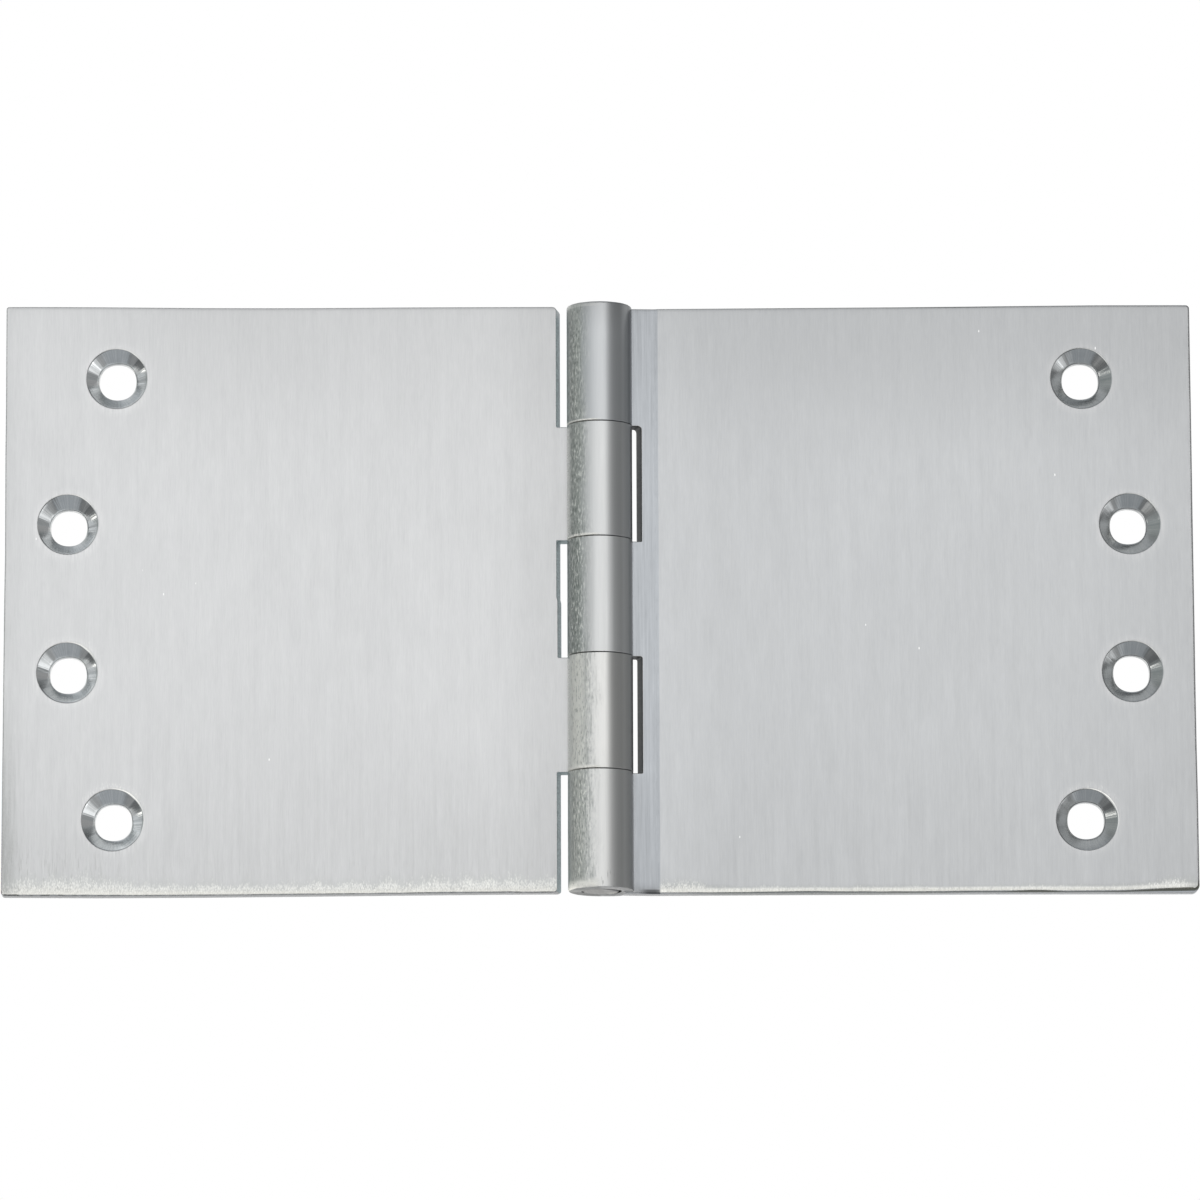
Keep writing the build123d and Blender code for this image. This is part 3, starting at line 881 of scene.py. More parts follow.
    # a pale ring is rubbed around each countersink
    for hu, hz in HOLES:
        d = t.add("ShaderNodeVectorMath", operation="DISTANCE")
        t.put(d.inputs[0], t.comb(u, 0.0, z))
        d.inputs[1].default_value = (hu * 0.001, 0.0, hz * 0.001)
        ring = t.math("MULTIPLY", t.mapr(d.outputs["Value"], 0.0052, 0.0068, 1.0, 0.0), t.mapr(blade, 0.35, 0.65, 0.05, 0.5))
        col = t.mixc(t.math("MULTIPLY", ring, front), col, tuple(0.86 * painted_light_level for _ in range(3)) + (1,))
    col = t.mixc(1.0, col, t.comb(grain_and_painted_shade, grain_and_painted_shade, grain_and_painted_shade), "MULTIPLY")
    if sign > 0:
        # painted shade: a dark line at the relief's lower end
        relief_end_shade = t.math("MULTIPLY", t.math("MULTIPLY", band, t.mapr(u, 0.0060, 0.0080)), t.mapr(low, 0.0003, 0.0006, 0.85, 0.0))
        col = t.mixc(relief_end_shade, col, (0.12, 0.125, 0.13, 1))
    # grey-green between the sparkles
    pepper = t.math("MULTIPLY", t.mapr(high, 0.6, 1.8, 0.40, 0.0), t.math("SUBTRACT", 1.0, frost))
    if sign > 0:
        pepper = t.math("MULTIPLY", pepper, t.mapr(u, 0.0096, 0.0104, 0.0, 1.0))
    col = t.mixc(pepper, col, tuple(painted_light_level * c for c in (0.54, 0.56, 0.54)) + (1,))
    haze = t.mapr(high, 1.25, 0.0, 0.0, 0.30)
    if sign > 0:
        haze = t.math("MULTIPLY", haze, t.mapr(u, 0.0096, 0.0104, 0.0, 1.0))
    haze = t.math("MULTIPLY", haze, t.mapr(u, 0.0958, 0.0995, 1.0, 0.2))
    col = t.mixc(haze, col, (0.90, 0.90, 0.86, 1))
    frosty = t.mixc(spark, (0.86, 0.86, 0.82, 1), (1.0, 1.0, 0.96, 1))
    col = t.mixc(frost, col, frosty)
    # painted highlight: the burr left on one side of some countersinks catches the light as a thin bright line
    for index, most in ((2, 0.35), (3, 0.95)) if sign < 0 else ((3, 0.95),):
        (hu, hz), (su, sz, sink_r) = HOLES[index], DRILLED[sign][index][3:6]
        dx = t.math("SUBTRACT", x, sign * (hu + su) * 0.001)
        dz = t.math("SUBTRACT", z, (hz + sz) * 0.001)
        d = t.math("SQRT", t.math("ADD", t.math("MULTIPLY", dx, dx), t.math("MULTIPLY", dz, dz)))
        face = t.math("DIVIDE", t.math("ADD", t.math("MULTIPLY", dx, 0.82), t.math("MULTIPLY", dz, 0.57)), d)
        burr = t.math("MULTIPLY", t.mapr(d, (sink_r + 0.10) * 0.001, (sink_r + 0.22) * 0.001, most, 0.0), t.mapr(face, 0.42, 0.80))
        burr = t.math("MULTIPLY", burr, t.mapr(blade, 0.28, 0.52, 0.45, 1.0))
        col = t.mixc(t.math("MULTIPLY", burr, front), col, (1.0, 1.0, 0.98, 1))
    col = t.mixc(speck, col, (0.95, 0.95, 0.94, 1))
    t.put(b.inputs["Base Color"], col)
    rough = t.mapr(lines, 0.35, 0.65, 0.335, 0.305, "LINEAR")
    rough = t.mix(frost, rough, 0.36)
    t.put(b.inputs["Roughness"], rough)
    h1 = t.bump(lines, 0.11, 0.00005)
    h2 = t.bump(t.math("MULTIPLY", grit, frost), 0.18, 0.00005, h1)
    t.put(b.inputs["Normal"], h2)
    return mat


def edge_metal():
    """Milled and polished edges: finer, with faint cross marks."""
    mat, t, b, obj = metal("polished_edge", 0.2)
    n1 = t.noise(t.scale3(obj, 900, 2600, 900), 1.0, 3.0, 0.55)
    n2 = t.noise(obj, 2600.0, 2.0, 0.6)
    drift = t.noise(t.scale3(obj, 55, 55, 55, 4.4), 1.0, 2.0, 0.5)
    col = t.mixc(t.mapr(n1, 0.3, 0.7), (0.52, 0.52, 0.526, 1), (0.626, 0.624, 0.626, 1))
    x, y, z = t.sep(obj)
    dull = t.math("MULTIPLY", t.mapr(x, 0.010, 0.022), t.mapr(x, 0.048, 0.078, 1.0, 0.0))
    dull = t.math("MULTIPLY", dull, t.mapr(drift, 0.3, 0.6, 0.45, 0.75))
    col = t.mixc(dull, col, (0.287, 0.30, 0.287, 1))
    # painted shade: the same dark line at the relief's lower end, on the edge
    relief_end_shade = t.math("MULTIPLY", t.math("MULTIPLY", t.mapr(x, 0.0060, 0.0082), t.mapr(x, 0.0098, 0.0100, 1.0, 0.0)),
                 t.math("MULTIPLY", t.mapr(z, -0.0490, -0.0495), t.mapr(y, 0.0009, 0.0011, 1.0, 0.0)))
    col = t.mixc(t.math("MULTIPLY", relief_end_shade, 0.9), col, (0.08, 0.085, 0.09, 1))
    # towards the outer corner the polish is better, under a wavy dark line of painted shade along the edge's rounding
    pale = t.math("MULTIPLY", t.mapr(x, 0.046, 0.062), t.mapr(z, -0.0478, -0.0490))
    col = t.mixc(t.math("MULTIPLY", pale, 0.7), col, (0.60, 0.617, 0.645, 1))
    wave = t.noise(t.scale3(obj, 130, 1, 1, 6.0), 1.0, 2.0, 0.5)
    swell = t.math("ADD", t.mapr(t.math("ABSOLUTE", t.math("SUBTRACT", x, 0.0725)), 0.0015, 0.0055, 1.0, 0.0),
                   t.mapr(x, 0.084, 0.097))
    begin = t.math("MULTIPLY_ADD", swell, -0.00012, 0.00050)
    deep = t.math("MULTIPLY_ADD", wave, 0.00022, t.math("MULTIPLY_ADD", swell, 0.00008, 0.00054))
    line = t.math("MULTIPLY", t.mapr(t.math("SUBTRACT", y, begin), -0.00008, 0.00007),
                  t.mapr(t.math("SUBTRACT", y, deep), -0.00008, 0.00010, 1.0, 0.0))
    line = t.math("MULTIPLY", line, t.math("MULTIPLY", t.mapr(x, 0.044, 0.050), t.mapr(z, -0.0474, -0.0486)))
    col = t.mixc(t.math("MULTIPLY", line, 0.92), col, (0.19, 0.19, 0.158, 1))
    # ragged dark marks near the ends of the other lower edge
    bits = t.math("MULTIPLY", t.mapr(n1, 0.44, 0.56), t.mapr(z, -0.0490, -0.0494))
    bits = t.math("MULTIPLY", bits, t.math("ADD", t.mapr(x, -0.018, -0.010, 0.0, 0.45), t.mapr(x, -0.088, -0.097, 0.40, 0.85)))
    bits = t.math("MULTIPLY", bits, t.mapr(x, 0.0, 0.001, 1.0, 0.0))
    bits = t.math("MULTIPLY", bits, t.mapr(y, 0.0010, 0.0016, 1.0, 0.0))
    col = t.mixc(bits, col, (0.10, 0.105, 0.095, 1))
    t.put(b.inputs["Base Color"], col)
    t.put(b.inputs["Roughness"], t.mapr(n2, 0.3, 0.7, 0.22, 0.34, "LINEAR"))
    t.put(b.inputs["Normal"], t.bump(n2, 0.25, 0.00008))
    return mat


def notch_metal(name, dark, light):
    """Milled notch walls and the walls inside the bore mouths, left dull and coloured dark as painted shade."""
    mat, t, b, obj = metal(name, 0.2)
    marks = t.noise(t.scale3(obj, 700, 500, 4200), 1.0, 3.0, 0.6)
    stain = t.noise(obj, 420.0, 3.0, 0.6)
    col = t.mixc(t.mapr(marks, 0.32, 0.68), dark, light)
    col = t.mixc(t.mapr(stain, 0.45, 0.75, 0.0, 0.5), col, tuple(0.6 * c for c in dark[:3]) + (1,))
    # painted light: lighter near the top of the walls
    col = t.mixc(t.mapr(t.sep(obj)[2], 0.0480, 0.0492, 0.0, 0.7), col, (0.80, 0.82, 0.83, 1))
    t.put(b.inputs["Base Color"], col)
    t.put(b.inputs["Roughness"], t.mapr(marks, 0.3, 0.7, 0.40, 0.55, "LINEAR"))
    t.put(b.inputs["Normal"], t.bump(marks, 0.3, 0.00006))
    # the mirror is also weakened, so that the walls keep their painted shade at flat angles
    b.inputs["Metallic"].default_value = 0.6
    b.inputs["Specular IOR Level"].default_value = 0.15
    return mat


def sink_metal(name, painted_light_level, painted_light_sectors):
    """Countersinks and hole walls: bright turned metal with radial chatter."""
    mat, t, b, obj = metal(name, 0.25)
    uv = t.add("ShaderNodeUVMap").outputs[0]
    u, v, _ = t.sep(uv)
    rays = t.noise(t.comb(t.math("MULTIPLY", u, 330.0), t.math("MULTIPLY", v, 9.0), 0.0), 1.0, 2.0, 0.55)
    rings = t.noise(t.comb(t.math("MULTIPLY", u, 10.0), t.math("MULTIPLY", v, 700.0), 0.0), 1.0, 2.0, 0.6)
    stain = t.noise(obj, 700.0, 2.0, 0.5)
    # the per-leaf level scales the colour as painted light: the door's holes are lighter than the frame's
    col = t.mixc(t.mapr(rays, 0.34, 0.66), tuple(c * painted_light_level for c in (0.615, 0.635, 0.645)) + (1,),
                 tuple(c * painted_light_level for c in (0.70, 0.712, 0.715)) + (1,))
    col = t.mixc(t.mapr(stain, 0.40, 0.65, 0.0, 0.18), col, tuple(c * painted_light_level for c in (0.48, 0.50, 0.505)) + (1,))
    # painted light and shade: some sides of each countersink are lighter than others
    sector_light = None
    for angle, wide, narrow, level in painted_light_sectors:
        turn = t.math("COSINE", t.math("SUBTRACT", t.math("DIVIDE", u, 0.042), angle))
        part = t.mapr(turn, wide, narrow, 1.0, level)
        sector_light = part if sector_light is None else t.math("MULTIPLY", sector_light, part)
    col = t.mixc(1.0, col, t.comb(sector_light, sector_light, sector_light), "MULTIPLY")
    t.put(b.inputs["Base Color"], col)
    # crisper in the upper half than in the lower
    upper = t.mapr(t.math("SINE", t.math("DIVIDE", u, 0.042)), -0.35, 0.15, 1.0, 0.62)
    t.put(b.inputs["Roughness"], t.math("MULTIPLY", t.mapr(rings, 0.3, 0.7, 0.13, 0.21, "LINEAR"), upper))
    t.put(b.inputs["Normal"], t.bump(t.math("ADD", t.math("MULTIPLY", rays, 0.9), t.math("MULTIPLY", rings, 0.22)), 0.22, 0.00008))
    return mat


def barrel_metal():
    """Knuckles: smooth satin, with a coarse sanded flank on one side and bright
    worn rims beside some of the joints and at the lower end."""
    mat, t, b, obj = metal("satin_barrel", 0.45)
    x, y, z = t.sep(obj)
    ang = t.math("ARCTAN2", x, t.math("MULTIPLY", y, -1.0))
    arc = t.math("MULTIPLY", ang, 0.0055)
    wrapped = t.comb(arc, 0.0, z)
    fine = t.noise(t.scale3(wrapped, 5200, 1, 110), 1.0, 3.0, 0.55)
    coarse = t.noise(t.scale3(wrapped, 3400, 1, 1000, 4.0), 1.0, 2.0, 0.6)
    streak = t.noise(t.scale3(wrapped, 1700, 1, 160, 8.0), 1.0, 2.0, 0.5)
    patch = t.noise(t.scale3(wrapped, 420, 1, 150, 2.0), 1.0, 3.0, 0.6)

    def per(values):
        """One number for each knuckle, from the lowest to the top one."""
        out = t.mapr(z, (J4 - 0.02) * 0.001, (J4 + 0.02) * 0.001, values[0], values[1], "LINEAR")
        for joint, v0, v1 in zip((J3, J2, J1), values[1:], values[2:]):
            out = t.math("ADD", out, t.mapr(z, (joint - 0.02) * 0.001, (joint + 0.02) * 0.001, 0.0, v1 - v0, "LINEAR"))
        return out

    # each knuckle was sanded on its left flank, some further round than others
    edge_in = t.math("ADD", ang, t.math("MULTIPLY_ADD", patch, 0.9, -0.45))
    edge_in = t.math("SUBTRACT", edge_in, per((0.08, 0.10, -0.22, -0.20, -0.26)))
    flank = t.math("MULTIPLY", t.mapr(edge_in, 0.0, -0.60, 0.0, 1.0), t.mapr(ang, -2.2, -1.62, 0.0, 1.0))
    col = t.mixc(t.mapr(fine, 0.35, 0.65, 0.0, 1.0, "LINEAR"), (0.617, 0.62, 0.617, 1), (0.641, 0.643, 0.638, 1))
    tint = t.mixc(per((0.2, 0.0, 0.45, 0.5, 1.0)), (1.006, 1.0, 0.985, 1), (0.980, 1.0, 1.026, 1))
    col = t.mixc(1.0, col, tint, "MULTIPLY")
    # painted highlight and shade: each knuckle's colour is raised where its highlight falls, lowered towards its
    # right, and raised again at the right edge
    fade = per((0.30, 0.10, 0.34, 0.28, 0.16))
    fade = t.mapr(ang, fade, t.math("ADD", fade, 0.32))
    painted_light_gain = t.mix(fade, per((1.15, 1.17, 1.15, 1.05, 0.930)), per((0.98, 0.96, 1.02, 0.95, 0.90)))
    painted_light_gain = t.math("MULTIPLY", painted_light_gain, t.mapr(ang, 0.66, 0.84, 1.0, 1.22))
    # painted highlight and shade: the middle knuckle is lighter a little right of its front and darker left of it
    painted_shift = t.math("MULTIPLY", t.mapr(ang, 0.10, 0.22), t.mapr(ang, 0.34, 0.46, 1.0, 0.0))
    dim = t.math("MULTIPLY", t.mapr(ang, -0.56, -0.44), t.mapr(ang, -0.26, -0.12, 1.0, 0.0))
    painted_shift = t.math("MULTIPLY_ADD", dim, -0.10, t.math("MULTIPLY", painted_shift, 0.15))
    painted_light_gain = t.math("MULTIPLY", painted_light_gain, t.math("MULTIPLY_ADD", per((0.0, 0.0, 1.0, 0.0, 0.0)), painted_shift, 1.0))
    # painted shade: the lowest knuckle is a little darker just left of its front
    calm = t.math("MULTIPLY", t.mapr(ang, -0.42, -0.30), t.mapr(ang, -0.10, 0.02, 1.0, 0.0))
    painted_light_gain = t.math("MULTIPLY", painted_light_gain, t.math("MULTIPLY_ADD", per((-0.07, 0.0, 0.0, 0.0, 0.0)), calm, 1.0))
    # painted shade: the middle and top knuckles are darker near their right edge
    turn = t.math("MULTIPLY", t.mapr(ang, 1.00, 1.14), per((0.0, 0.0, 0.20, 0.0, 0.26)))
    painted_light_gain = t.math("MULTIPLY", painted_light_gain, t.math("SUBTRACT", 1.0, turn))
    col = t.mixc(1.0, col, t.comb(painted_light_gain, painted_light_gain, painted_light_gain), "MULTIPLY")
    white = t.math("MULTIPLY", per((0.50, 1.0, 0.14, 0.24, 0.30)), t.mapr(ang, -0.15, -0.75))
    rest = t.mixc(white, (0.365, 0.392, 0.378, 1), (0.95, 0.945, 0.90, 1))
    front = t.mixc(per((1.0, 1.0, 0.0, 0.30, 0.20)), (0.63, 0.637, 0.63, 1), (0.86, 0.86, 0.845, 1))
    rest = t.mixc(t.mapr(ang, -0.75, -0.20), rest, front)
    glitter = t.math("MULTIPLY", t.mapr(coarse, 0.53, 0.61, 0.0, 1.0), t.mapr(patch, 0.38, 0.60, 0.45, 1.0))
    dark = t.mixc(glitter, rest, (1.0, 1.0, 0.955, 1))
    pits = t.math("MULTIPLY", t.mapr(coarse, 0.46, 0.38, 0.0, 0.85), t.mapr(ang, -0.75, -0.20, 1.0, 0.35))
    dark = t.mixc(pits, dark, t.mixc(white, (0.18, 0.203, 0.191, 1), (0.58, 0.585, 0.56, 1)))
    dark = t.mixc(t.mapr(streak, 0.52, 0.64, 0.0, 0.5), dark, t.mixc(white, (0.29, 0.318, 0.305, 1), (0.74, 0.745, 0.72, 1)))
    col = t.mixc(flank, col, dark)
    # a few lengthwise scratches low on the bottom knuckle
    nicks = t.noise(t.scale3(wrapped, 2300, 1, 210, 3.3), 1.0, 2.0, 0.6)
    nicks = t.math("MULTIPLY", t.mapr(nicks, 0.57, 0.63), t.math("MULTIPLY", t.mapr(ang, -0.15, 0.02), t.mapr(ang, 0.55, 0.40)))
    nicks = t.math("MULTIPLY", nicks, t.math("MULTIPLY", t.mapr(z, -0.0464, -0.0478), 0.65))
    col = t.mixc(nicks, col, (0.20, 0.205, 0.20, 1))
    # worn rims on the left half
    left_half = t.mapr(ang, 0.10, -0.20, 0.0, 1.0)
    rub = t.noise(t.scale3(wrapped, 1500, 1, 3200, 5.0), 1.0, 2.0, 0.6)
    rims = None
    for foot, solid, tall in ((J1 + GAP, 0.25, 0.35), (J2 + GAP, 0.25, 0.55), (J4 + GAP, 0.25, 0.8),
                              (BARREL_LOW, 0.95, 2.2), (BARREL_TOP - 0.7, 0.25, 1.0)):
        w = t.math("MULTIPLY", t.mapr(z, (foot - 0.1) * 0.001, (foot - 0.05) * 0.001),
                   t.mapr(z, (foot + solid) * 0.001, (foot + tall) * 0.001, 1.0, 0.0))
        if foot > J1 + 1:
            w = t.math("MULTIPLY", w, 0.45)
        rims = w if rims is None else t.math("MAXIMUM", rims, w)
    rims = t.math("MULTIPLY", t.math("MULTIPLY", rims, left_half), t.mapr(rub, 0.28, 0.50, 0.45, 1.0))
    col = t.mixc(rims, col, (1.0, 0.995, 0.96, 1))
    # the filed lower end, dull and mottled
    down = t.sep(t.add("ShaderNodeNewGeometry").outputs["Normal"])[2]
    under = t.math("MULTIPLY", t.mapr(down, -0.62, -0.90), t.mapr(z, -0.0485, -0.0492))
    spots = t.noise(obj, 1500.0, 3.0, 0.6)
    col = t.mixc(t.math("MULTIPLY", under, 0.9), col,
                 t.mixc(t.mapr(spots, 0.35, 0.65), (0.40, 0.40, 0.395, 1), (0.60, 0.60, 0.59, 1)))
    # darker towards the top
    cap = t.mapr(z, 0.0440, 0.0498, 0.0, 0.34)
    col = t.mixc(cap, col, (0.37, 0.372, 0.375, 1))
    # polished line where the flank runs into the leaf
    seam = t.math("MULTIPLY", t.mapr(ang, -1.00, -1.24, 0.0, 1.0), t.mapr(ang, -1.75, -1.60, 0.0, 1.0))
    seam = t.math("MULTIPLY", seam, t.math("MULTIPLY", t.mapr(rub, 0.36, 0.58, 0.55, 1.0), per((0.66, 1.0, 0.45, 0.95, 0.60))))
    col = t.mixc(seam, col, (0.97, 0.97, 0.93, 1))
    t.put(b.inputs["Base Color"], col)
    rough = t.math("ADD", t.mapr(fine, 0.3, 0.7, 0.01, -0.01, "LINEAR"), per((0.345, 0.305, 0.36, 0.31, 0.310)))
    rough = t.mix(flank, rough, per((0.44, 0.50, 0.36, 0.36, 0.33)))
    rough = t.mix(seam, rough, 0.26)
    rough = t.mix(rims, rough, 0.62)
    t.put(b.inputs["Roughness"], rough)
    h1 = t.bump(fine, 0.05, 0.00005)
    h2 = t.bump(t.math("MULTIPLY", coarse, flank), 0.60, 0.00014, h1)
    t.put(b.inputs["Normal"], h2)
    return mat


def pin_metal():
    """Turned steel: fine rings on the ends, lengthwise sheen on the shank."""
    mat, t, b, obj = metal("turned_pin", 0.0, tangent=False)
    x, y, z = t.sep(obj)
    rad = t.math("SQRT", t.math("ADD", t.math("MULTIPLY", x, x), t.math("MULTIPLY", y, y)))
    rings = t.noise(t.comb(t.math("MULTIPLY", rad, 5200.0), 0.0, t.math("MULTIPLY", z, 300.0)), 1.0, 2.0, 0.6)
    stain = t.noise(obj, 900.0, 3.0, 0.6)
    col = t.mixc(t.mapr(stain, 0.35, 0.7), (0.47, 0.455, 0.43, 1), (0.59, 0.58, 0.56, 1))
    # painted shade: a dark crescent on one side of the ends and a spot on the other, where the gap round the pin lies
    # in shadow
    ang = t.math("ARCTAN2", x, t.math("MULTIPLY", y, -1.0))
    inner = t.math("ADD", t.mapr(ang, -0.35, 0.60, 0.00305, 0.00215), t.mapr(ang, 1.15, 2.00, 0.0, 0.00100))
    gap_shade = t.mapr(t.math("SUBTRACT", t.math("MULTIPLY_ADD", stain, 0.0003, rad), inner), 0.00005, 0.00020)
    gap_shade = t.math("MULTIPLY", gap_shade, t.math("MULTIPLY", t.mapr(ang, -0.55, -0.30), t.mapr(ang, 2.2, 1.9)))
    spot = t.math("MULTIPLY", t.mapr(ang, -1.98, -1.88), t.mapr(ang, -1.60, -1.68))
    gap_shade = t.math("MAXIMUM", gap_shade, t.math("MULTIPLY", spot, t.mapr(rad, 0.00285, 0.00300)))
    # a paler cream patch on the ends
    pale_patch = t.math("MULTIPLY", t.mapr(ang, 1.75, 2.2), t.mapr(ang, 2.75, 2.55))
    col = t.mixc(t.math("MULTIPLY", pale_patch, t.mapr(rad, 0.0014, 0.0024, 0.0, 0.7)), col, (0.88, 0.86, 0.79, 1))
    col = t.mixc(t.math("MULTIPLY", gap_shade, 0.92), col, (0.03, 0.03, 0.03, 1))
    t.put(b.inputs["Base Color"], col)
    t.put(b.inputs["Roughness"], t.mapr(rings, 0.3, 0.7, 0.25, 0.42, "LINEAR"))
    t.put(b.inputs["Normal"], t.bump(rings, 0.3, 0.00008))
    return mat


# -------------------------------------------------------------------- pieces
edge_m, barrel_m = edge_metal(), barrel_metal()
# painted light and shade: the frame and door copies of the face and countersink materials differ only in level
sink_r, sink_l = sink_metal("turned_sink_frame", 0.748, ((-1.2, 0.60, 0.95, 1.10),)), sink_metal(
    "turned_sink_door", 0.957, ((-0.70, 0.55, 0.92, 1.42), (3.02, 0.93, 0.985, 1.47), (3.36, 0.95, 0.99, 1.35), (0.30, 0.93, 0.98, 0.86), (0.55, 0.96, 0.99, 0.85), (-0.12, 0.95, 0.99, 0.73), (-2.2, 0.90, 0.98, 0.90)))
# painted shade: the frame's notch walls are near black, the door's a lighter grey-blue
mats = [leaf_metal("satin_face_frame", 1, 0.794), edge_m, sink_r, barrel_m,
        notch_metal("notch_frame", (0.020, 0.022, 0.024, 1), (0.060, 0.064, 0.068, 1))]
mats_l = [leaf_metal("satin_face_door", -1, 0.932), edge_m, sink_l, barrel_m,
          notch_metal("notch_door", (0.36, 0.44, 0.46, 1), (0.60, 0.70, 0.72, 1))]

right = Leaf("frame", 1)
plate = mesh_object("tmp_plate_r", [plate_mesh(right)], mats)
kn = [
    knuckle(J1 + GAP, BARREL_TOP, PIN_R, (0.22, 0.06), (0.30, 0.30), 31, 0.004, top_mouth=True),
    knuckle(J3 + GAP, J2 - GAP, PIN_R, (0.12, 0.06), (0.06, 0.06), 33, 0.010),
    filed(knuckle(BARREL_LOW, J4 - GAP, PIN_R, (1.05, 0.12), (0.06, 0.06), 35, 0.014, low_mouth=True)),
]
tubes = mesh_object("tmp_tubes_r", kn, mats)
frame_piece = finish_mesh(union(plate, tubes, "frame_leaf_body"))

left = Leaf("door", -1)
plate = mesh_object("tmp_plate_l", [plate_mesh(left)], mats_l)
kn = [
    knuckle(J2 + GAP, J1 - GAP, PIN_R + 0.05, (0.34, 0.07), (0.06, 0.06), 41, 0.007),
    knuckle(J4 + GAP, J3 - GAP, PIN_R + 0.05, (0.48, 0.07), (0.06, 0.06), 43, 0.011),
]
tubes = mesh_object("tmp_tubes_l", kn, mats_l)
door_piece = finish_mesh(union(plate, tubes, "door_leaf_body"))


def pin_mesh():
    half, n, r = 49.78, len(TURN), PIN_R - 0.01
    worn = 0.03 + 0.30 * np.exp(-((SIGNED - 1.35) / 0.60) ** 2) + 0.18 * np.exp(-((SIGNED + 1.78) / 0.16) ** 2)
    end = [(0.02, -half), (0.9, -half), (1.7, -half), (2.3, -half), (r - 1.7 * worn, -half + 0.02 * worn),
           (r - 0.9 * worn, -half + 0.25 * worn), (r - 0.35 * worn, -half + 0.6 * worn), (r, -half + 1.1 * worn)]
    rows = end + [(r, float(z)) for z in np.linspace(-half + 1, half - 1, 26)]
    rows += [(a, -b) for a, b in end[::-1]]
    v, f, m = filed(lathe([(a, b, 0) for a, b in rows], closed=False))
    f += [tuple(range(n))[::-1], tuple(range(len(v) - n, len(v)))]
    return v, f, m + [0, 0]


pin_piece = mesh_object("hinge_pin_body", [pin_mesh()], [pin_metal()])
pin_piece = finish_mesh(pin_piece)

for piece, node, body, slot in (
        (frame_piece, "frame_leaf", "frame_side", "leaf_metal"),
        (door_piece, "door_leaf", "door_side", "leaf_metal"),
        (pin_piece, "hinge_pin", "frame_side", "pin_metal")):
    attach(piece, body)
    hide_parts(node)

# ---------------------------------------------------------------------- stage
bpy.ops.mesh.primitive_circle_add(vertices=96, radius=2.2, fill_type="NGON", location=(0, 0, -0.32))
floor = bpy.context.object
floor.name = "stage_floor"
fm = bpy.data.materials.new("pale_floor")
fm.use_nodes = True
fm.node_tree.nodes["Principled BSDF"].inputs["Base Color"].default_value = (0.82, 0.82, 0.82, 1)
fm.node_tree.nodes["Principled BSDF"].inputs["Roughness"].default_value = 0.9
floor.data.materials.append(fm)
floor.visible_glossy = False


def studio(boxes, base):
    """Soft boxes on the sky around the part. Each is an azimuth span and an
    elevation span in degrees with soft borders; azimuth 0 is straight in front
    and positive to the right."""
    world = bpy.data.worlds.new("studio")
    bpy.context.scene.world = world
    world.use_nodes = True
    t = Tree(world.node_tree)
    out = t.add("ShaderNodeOutputWorld")
    d = t.add("ShaderNodeTexCoord").outputs["Generated"]
    x, y, z = t.sep(d)
    az = t.math("DEGREES", t.math("ARCTAN2", x, t.math("MULTIPLY", y, -1.0)))
    el = t.math("DEGREES", t.math("ARCSINE", z))
    total = t.mixc(t.mapr(el, -90, 90, 0, 1, "LINEAR"), tuple(GAIN * c for c in base[0]), tuple(GAIN * c for c in base[1]))
    for colour, level, (a0, s0, a1, s1), (e0, r0, e1, r1), back in boxes:
        aa = az
        if back:
            # measured from straight behind
            aa = t.math("DEGREES", t.math("ARCTAN2", x, y))
        w = t.math("MULTIPLY", t.mapr(aa, a0 - s0, a0 + s0), t.mapr(aa, a1 - s1, a1 + s1, 1.0, 0.0))
        h = t.math("MULTIPLY", t.mapr(el, e0 - r0, e0 + r0), t.mapr(el, e1 - r1, e1 + r1, 1.0, 0.0))
        f = t.math("MULTIPLY", t.math("MULTIPLY", w, h), level * GAIN)
        n = t.add("ShaderNodeVectorMath", operation="MULTIPLY_ADD")
        t.put(n.inputs[0], t.comb(f, f, f))
        n.inputs[1].default_value = colour
        t.put(n.inputs[2], total)
        total = n.outputs[0]
    light = t.add("ShaderNodeBackground")
    t.put(light.inputs[0], total)
    light.inputs[1].default_value = 1.0
    white = t.add("ShaderNodeBackground")
    white.inputs[0].default_value = (1, 1, 1, 1)
    white.inputs[1].default_value = 1.0
    path = t.add("ShaderNodeLightPath")
    mixer = t.add("ShaderNodeMixShader")
    t.t.links.new(path.outputs["Is Camera Ray"], mixer.inputs[0])
    t.t.links.new(light.outputs[0], mixer.inputs[1])
    t.t.links.new(white.outputs[0], mixer.inputs[2])
    t.t.links.new(mixer.outputs[0], out.inputs[0])


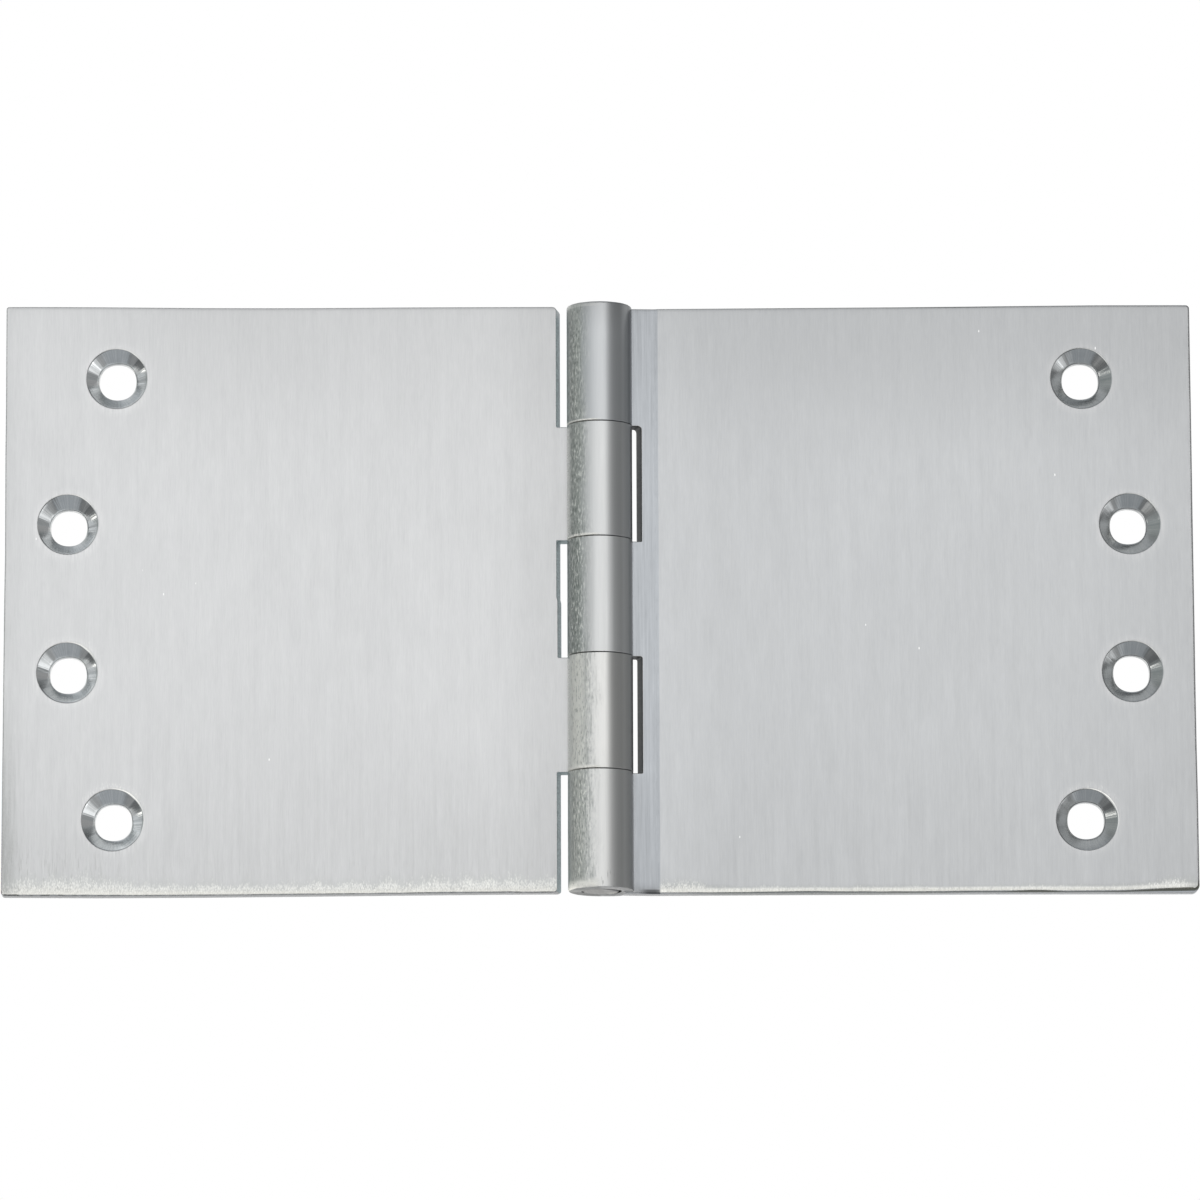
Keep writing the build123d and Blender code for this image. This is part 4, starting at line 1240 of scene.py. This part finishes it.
GAIN = 1.15
WHITE = (1.0, 1.0, 1.0)
COOL = (0.94, 1.0, 1.06)
WARM = (1.03, 1.0, 0.94)
PALE = (1.015, 1.0, 0.97)
GREEN = (0.96, 1.03, 0.99)
studio([
    # colour, level, (left, soft, right, soft), (low, soft, high, soft), behind
    (WHITE, 0.93, (-30, 34, 24.5, 11), (-9, 8, 27, 12), False),          # front box
    (WHITE, 0.20, (14, 6, 38, 18), (-8, 8, 27, 12), False),              # its soft right border
    (COOL, 0.09, (-75, 15, -16, 10), (-10, 8, 27, 12), False),           # its cool side
    (WARM, 0.15, (10, 6, 23, 5), (-10, 8, 27, 12), False),               # its warm side
    (PALE, 0.95, (-60, 9, 10, 14), (-40, 9, -11, 5), False),            # low front
    (WHITE, -0.48, (3, 4, 18, 5), (-3, 4, 6, 4), False),                 # the camera's own shade
    (WARM, 1.25, (-152, 9, -97, 8), (-55, 12, -9, 6), False),          # low left, behind
    (GREEN, 0.24, (-150, 30, -40, 30), (-12, 14, 40, 20), False),        # left side
    (WHITE, -0.09, (-80, 4, -66, 5), (4, 4, 18, 5), False),
    (WHITE, 0.14, (-150, 30, -87, 4), (2, 8, 75, 10), False),            # left, high
    (WHITE, 0.06, (40, 20, 140, 20), (-2, 8, 24, 12), False),            # right side
    (WHITE, 0.16, (96, 5, 135, 20), (-2, 8, 24, 12), False),
    (WHITE, -0.08, (60, 20, 130, 20), (30, 10, 76, 8), False),           # right, high: darker
    (WHITE, 0.27, (-80, 30, 80, 30), (-75, 20, -3, 5), True),            # behind, low
    (WHITE, 0.74, (65, 6, 84, 5), (-36, 6, -6, 6), False),               # right glint
    (WHITE, 1.30, (71, 2, 79, 2), (-27, 2, -22, 2), False),
    (WHITE, 0.22, (52, 6, 82, 5), (-58, 6, -32, 5), False),              # and below it
    (WARM, 2.9, (-92, 4, -74, 4), (-7.5, 2, -4, 2), False),               # left glint
    (WHITE, 0.15, (-84, 5, -68, 4), (-60, 6, -34, 5), False),            # and below it
    (WHITE, 0.50, (-42, 12, 42, 12), (-9, 6, 30, 10), True),              # white cloth behind
    (COOL, 0.25, (-180, 1, 180, 1), (-95, 5, -51, 6), False),            # from below
    (COOL, 0.22, (-180, 1, 180, 1), (50, 14, 95, 5), False),             # from above
], ((0.165, 0.17, 0.172, 1), (0.165, 0.17, 0.172, 1)))

# --------------------------------------------------------------------- camera
D, AZ, EL, ROLL = 1.15124, math.radians(-0.671), math.radians(-9.59), math.radians(0.1975)
PITCH = math.radians(0.0150)
eye = Vector((D * math.sin(AZ) * math.cos(EL), -D * math.cos(AZ) * math.cos(EL), D * math.sin(EL)))
look = (-eye).normalized()
side = look.cross(Vector((0, 0, 1))).normalized()
up = side.cross(look)
up, look = (up * math.cos(PITCH) + look * math.sin(PITCH),
            look * math.cos(PITCH) - up * math.sin(PITCH))
s2 = side * math.cos(ROLL) - up * math.sin(ROLL)
u2 = side * math.sin(ROLL) + up * math.cos(ROLL)
cam_data = bpy.data.cameras.new("photo_camera")
cam_data.sensor_fit = "HORIZONTAL"
cam_data.sensor_width = 36.0
cam_data.lens = 6856.75 / 1200.0 * 36.0
cam_data.clip_start = 0.02
cam_data.clip_end = 20.0
cam = bpy.data.objects.new("photo_camera", cam_data)
m = Matrix((s2, u2, -look)).transposed().to_4x4()
m.translation = eye
cam.matrix_world = m
bpy.context.scene.collection.objects.link(cam)
bpy.context.scene.camera = cam
bpy.context.scene.view_settings.view_transform = "Standard"
bpy.context.scene.view_settings.look = "None"
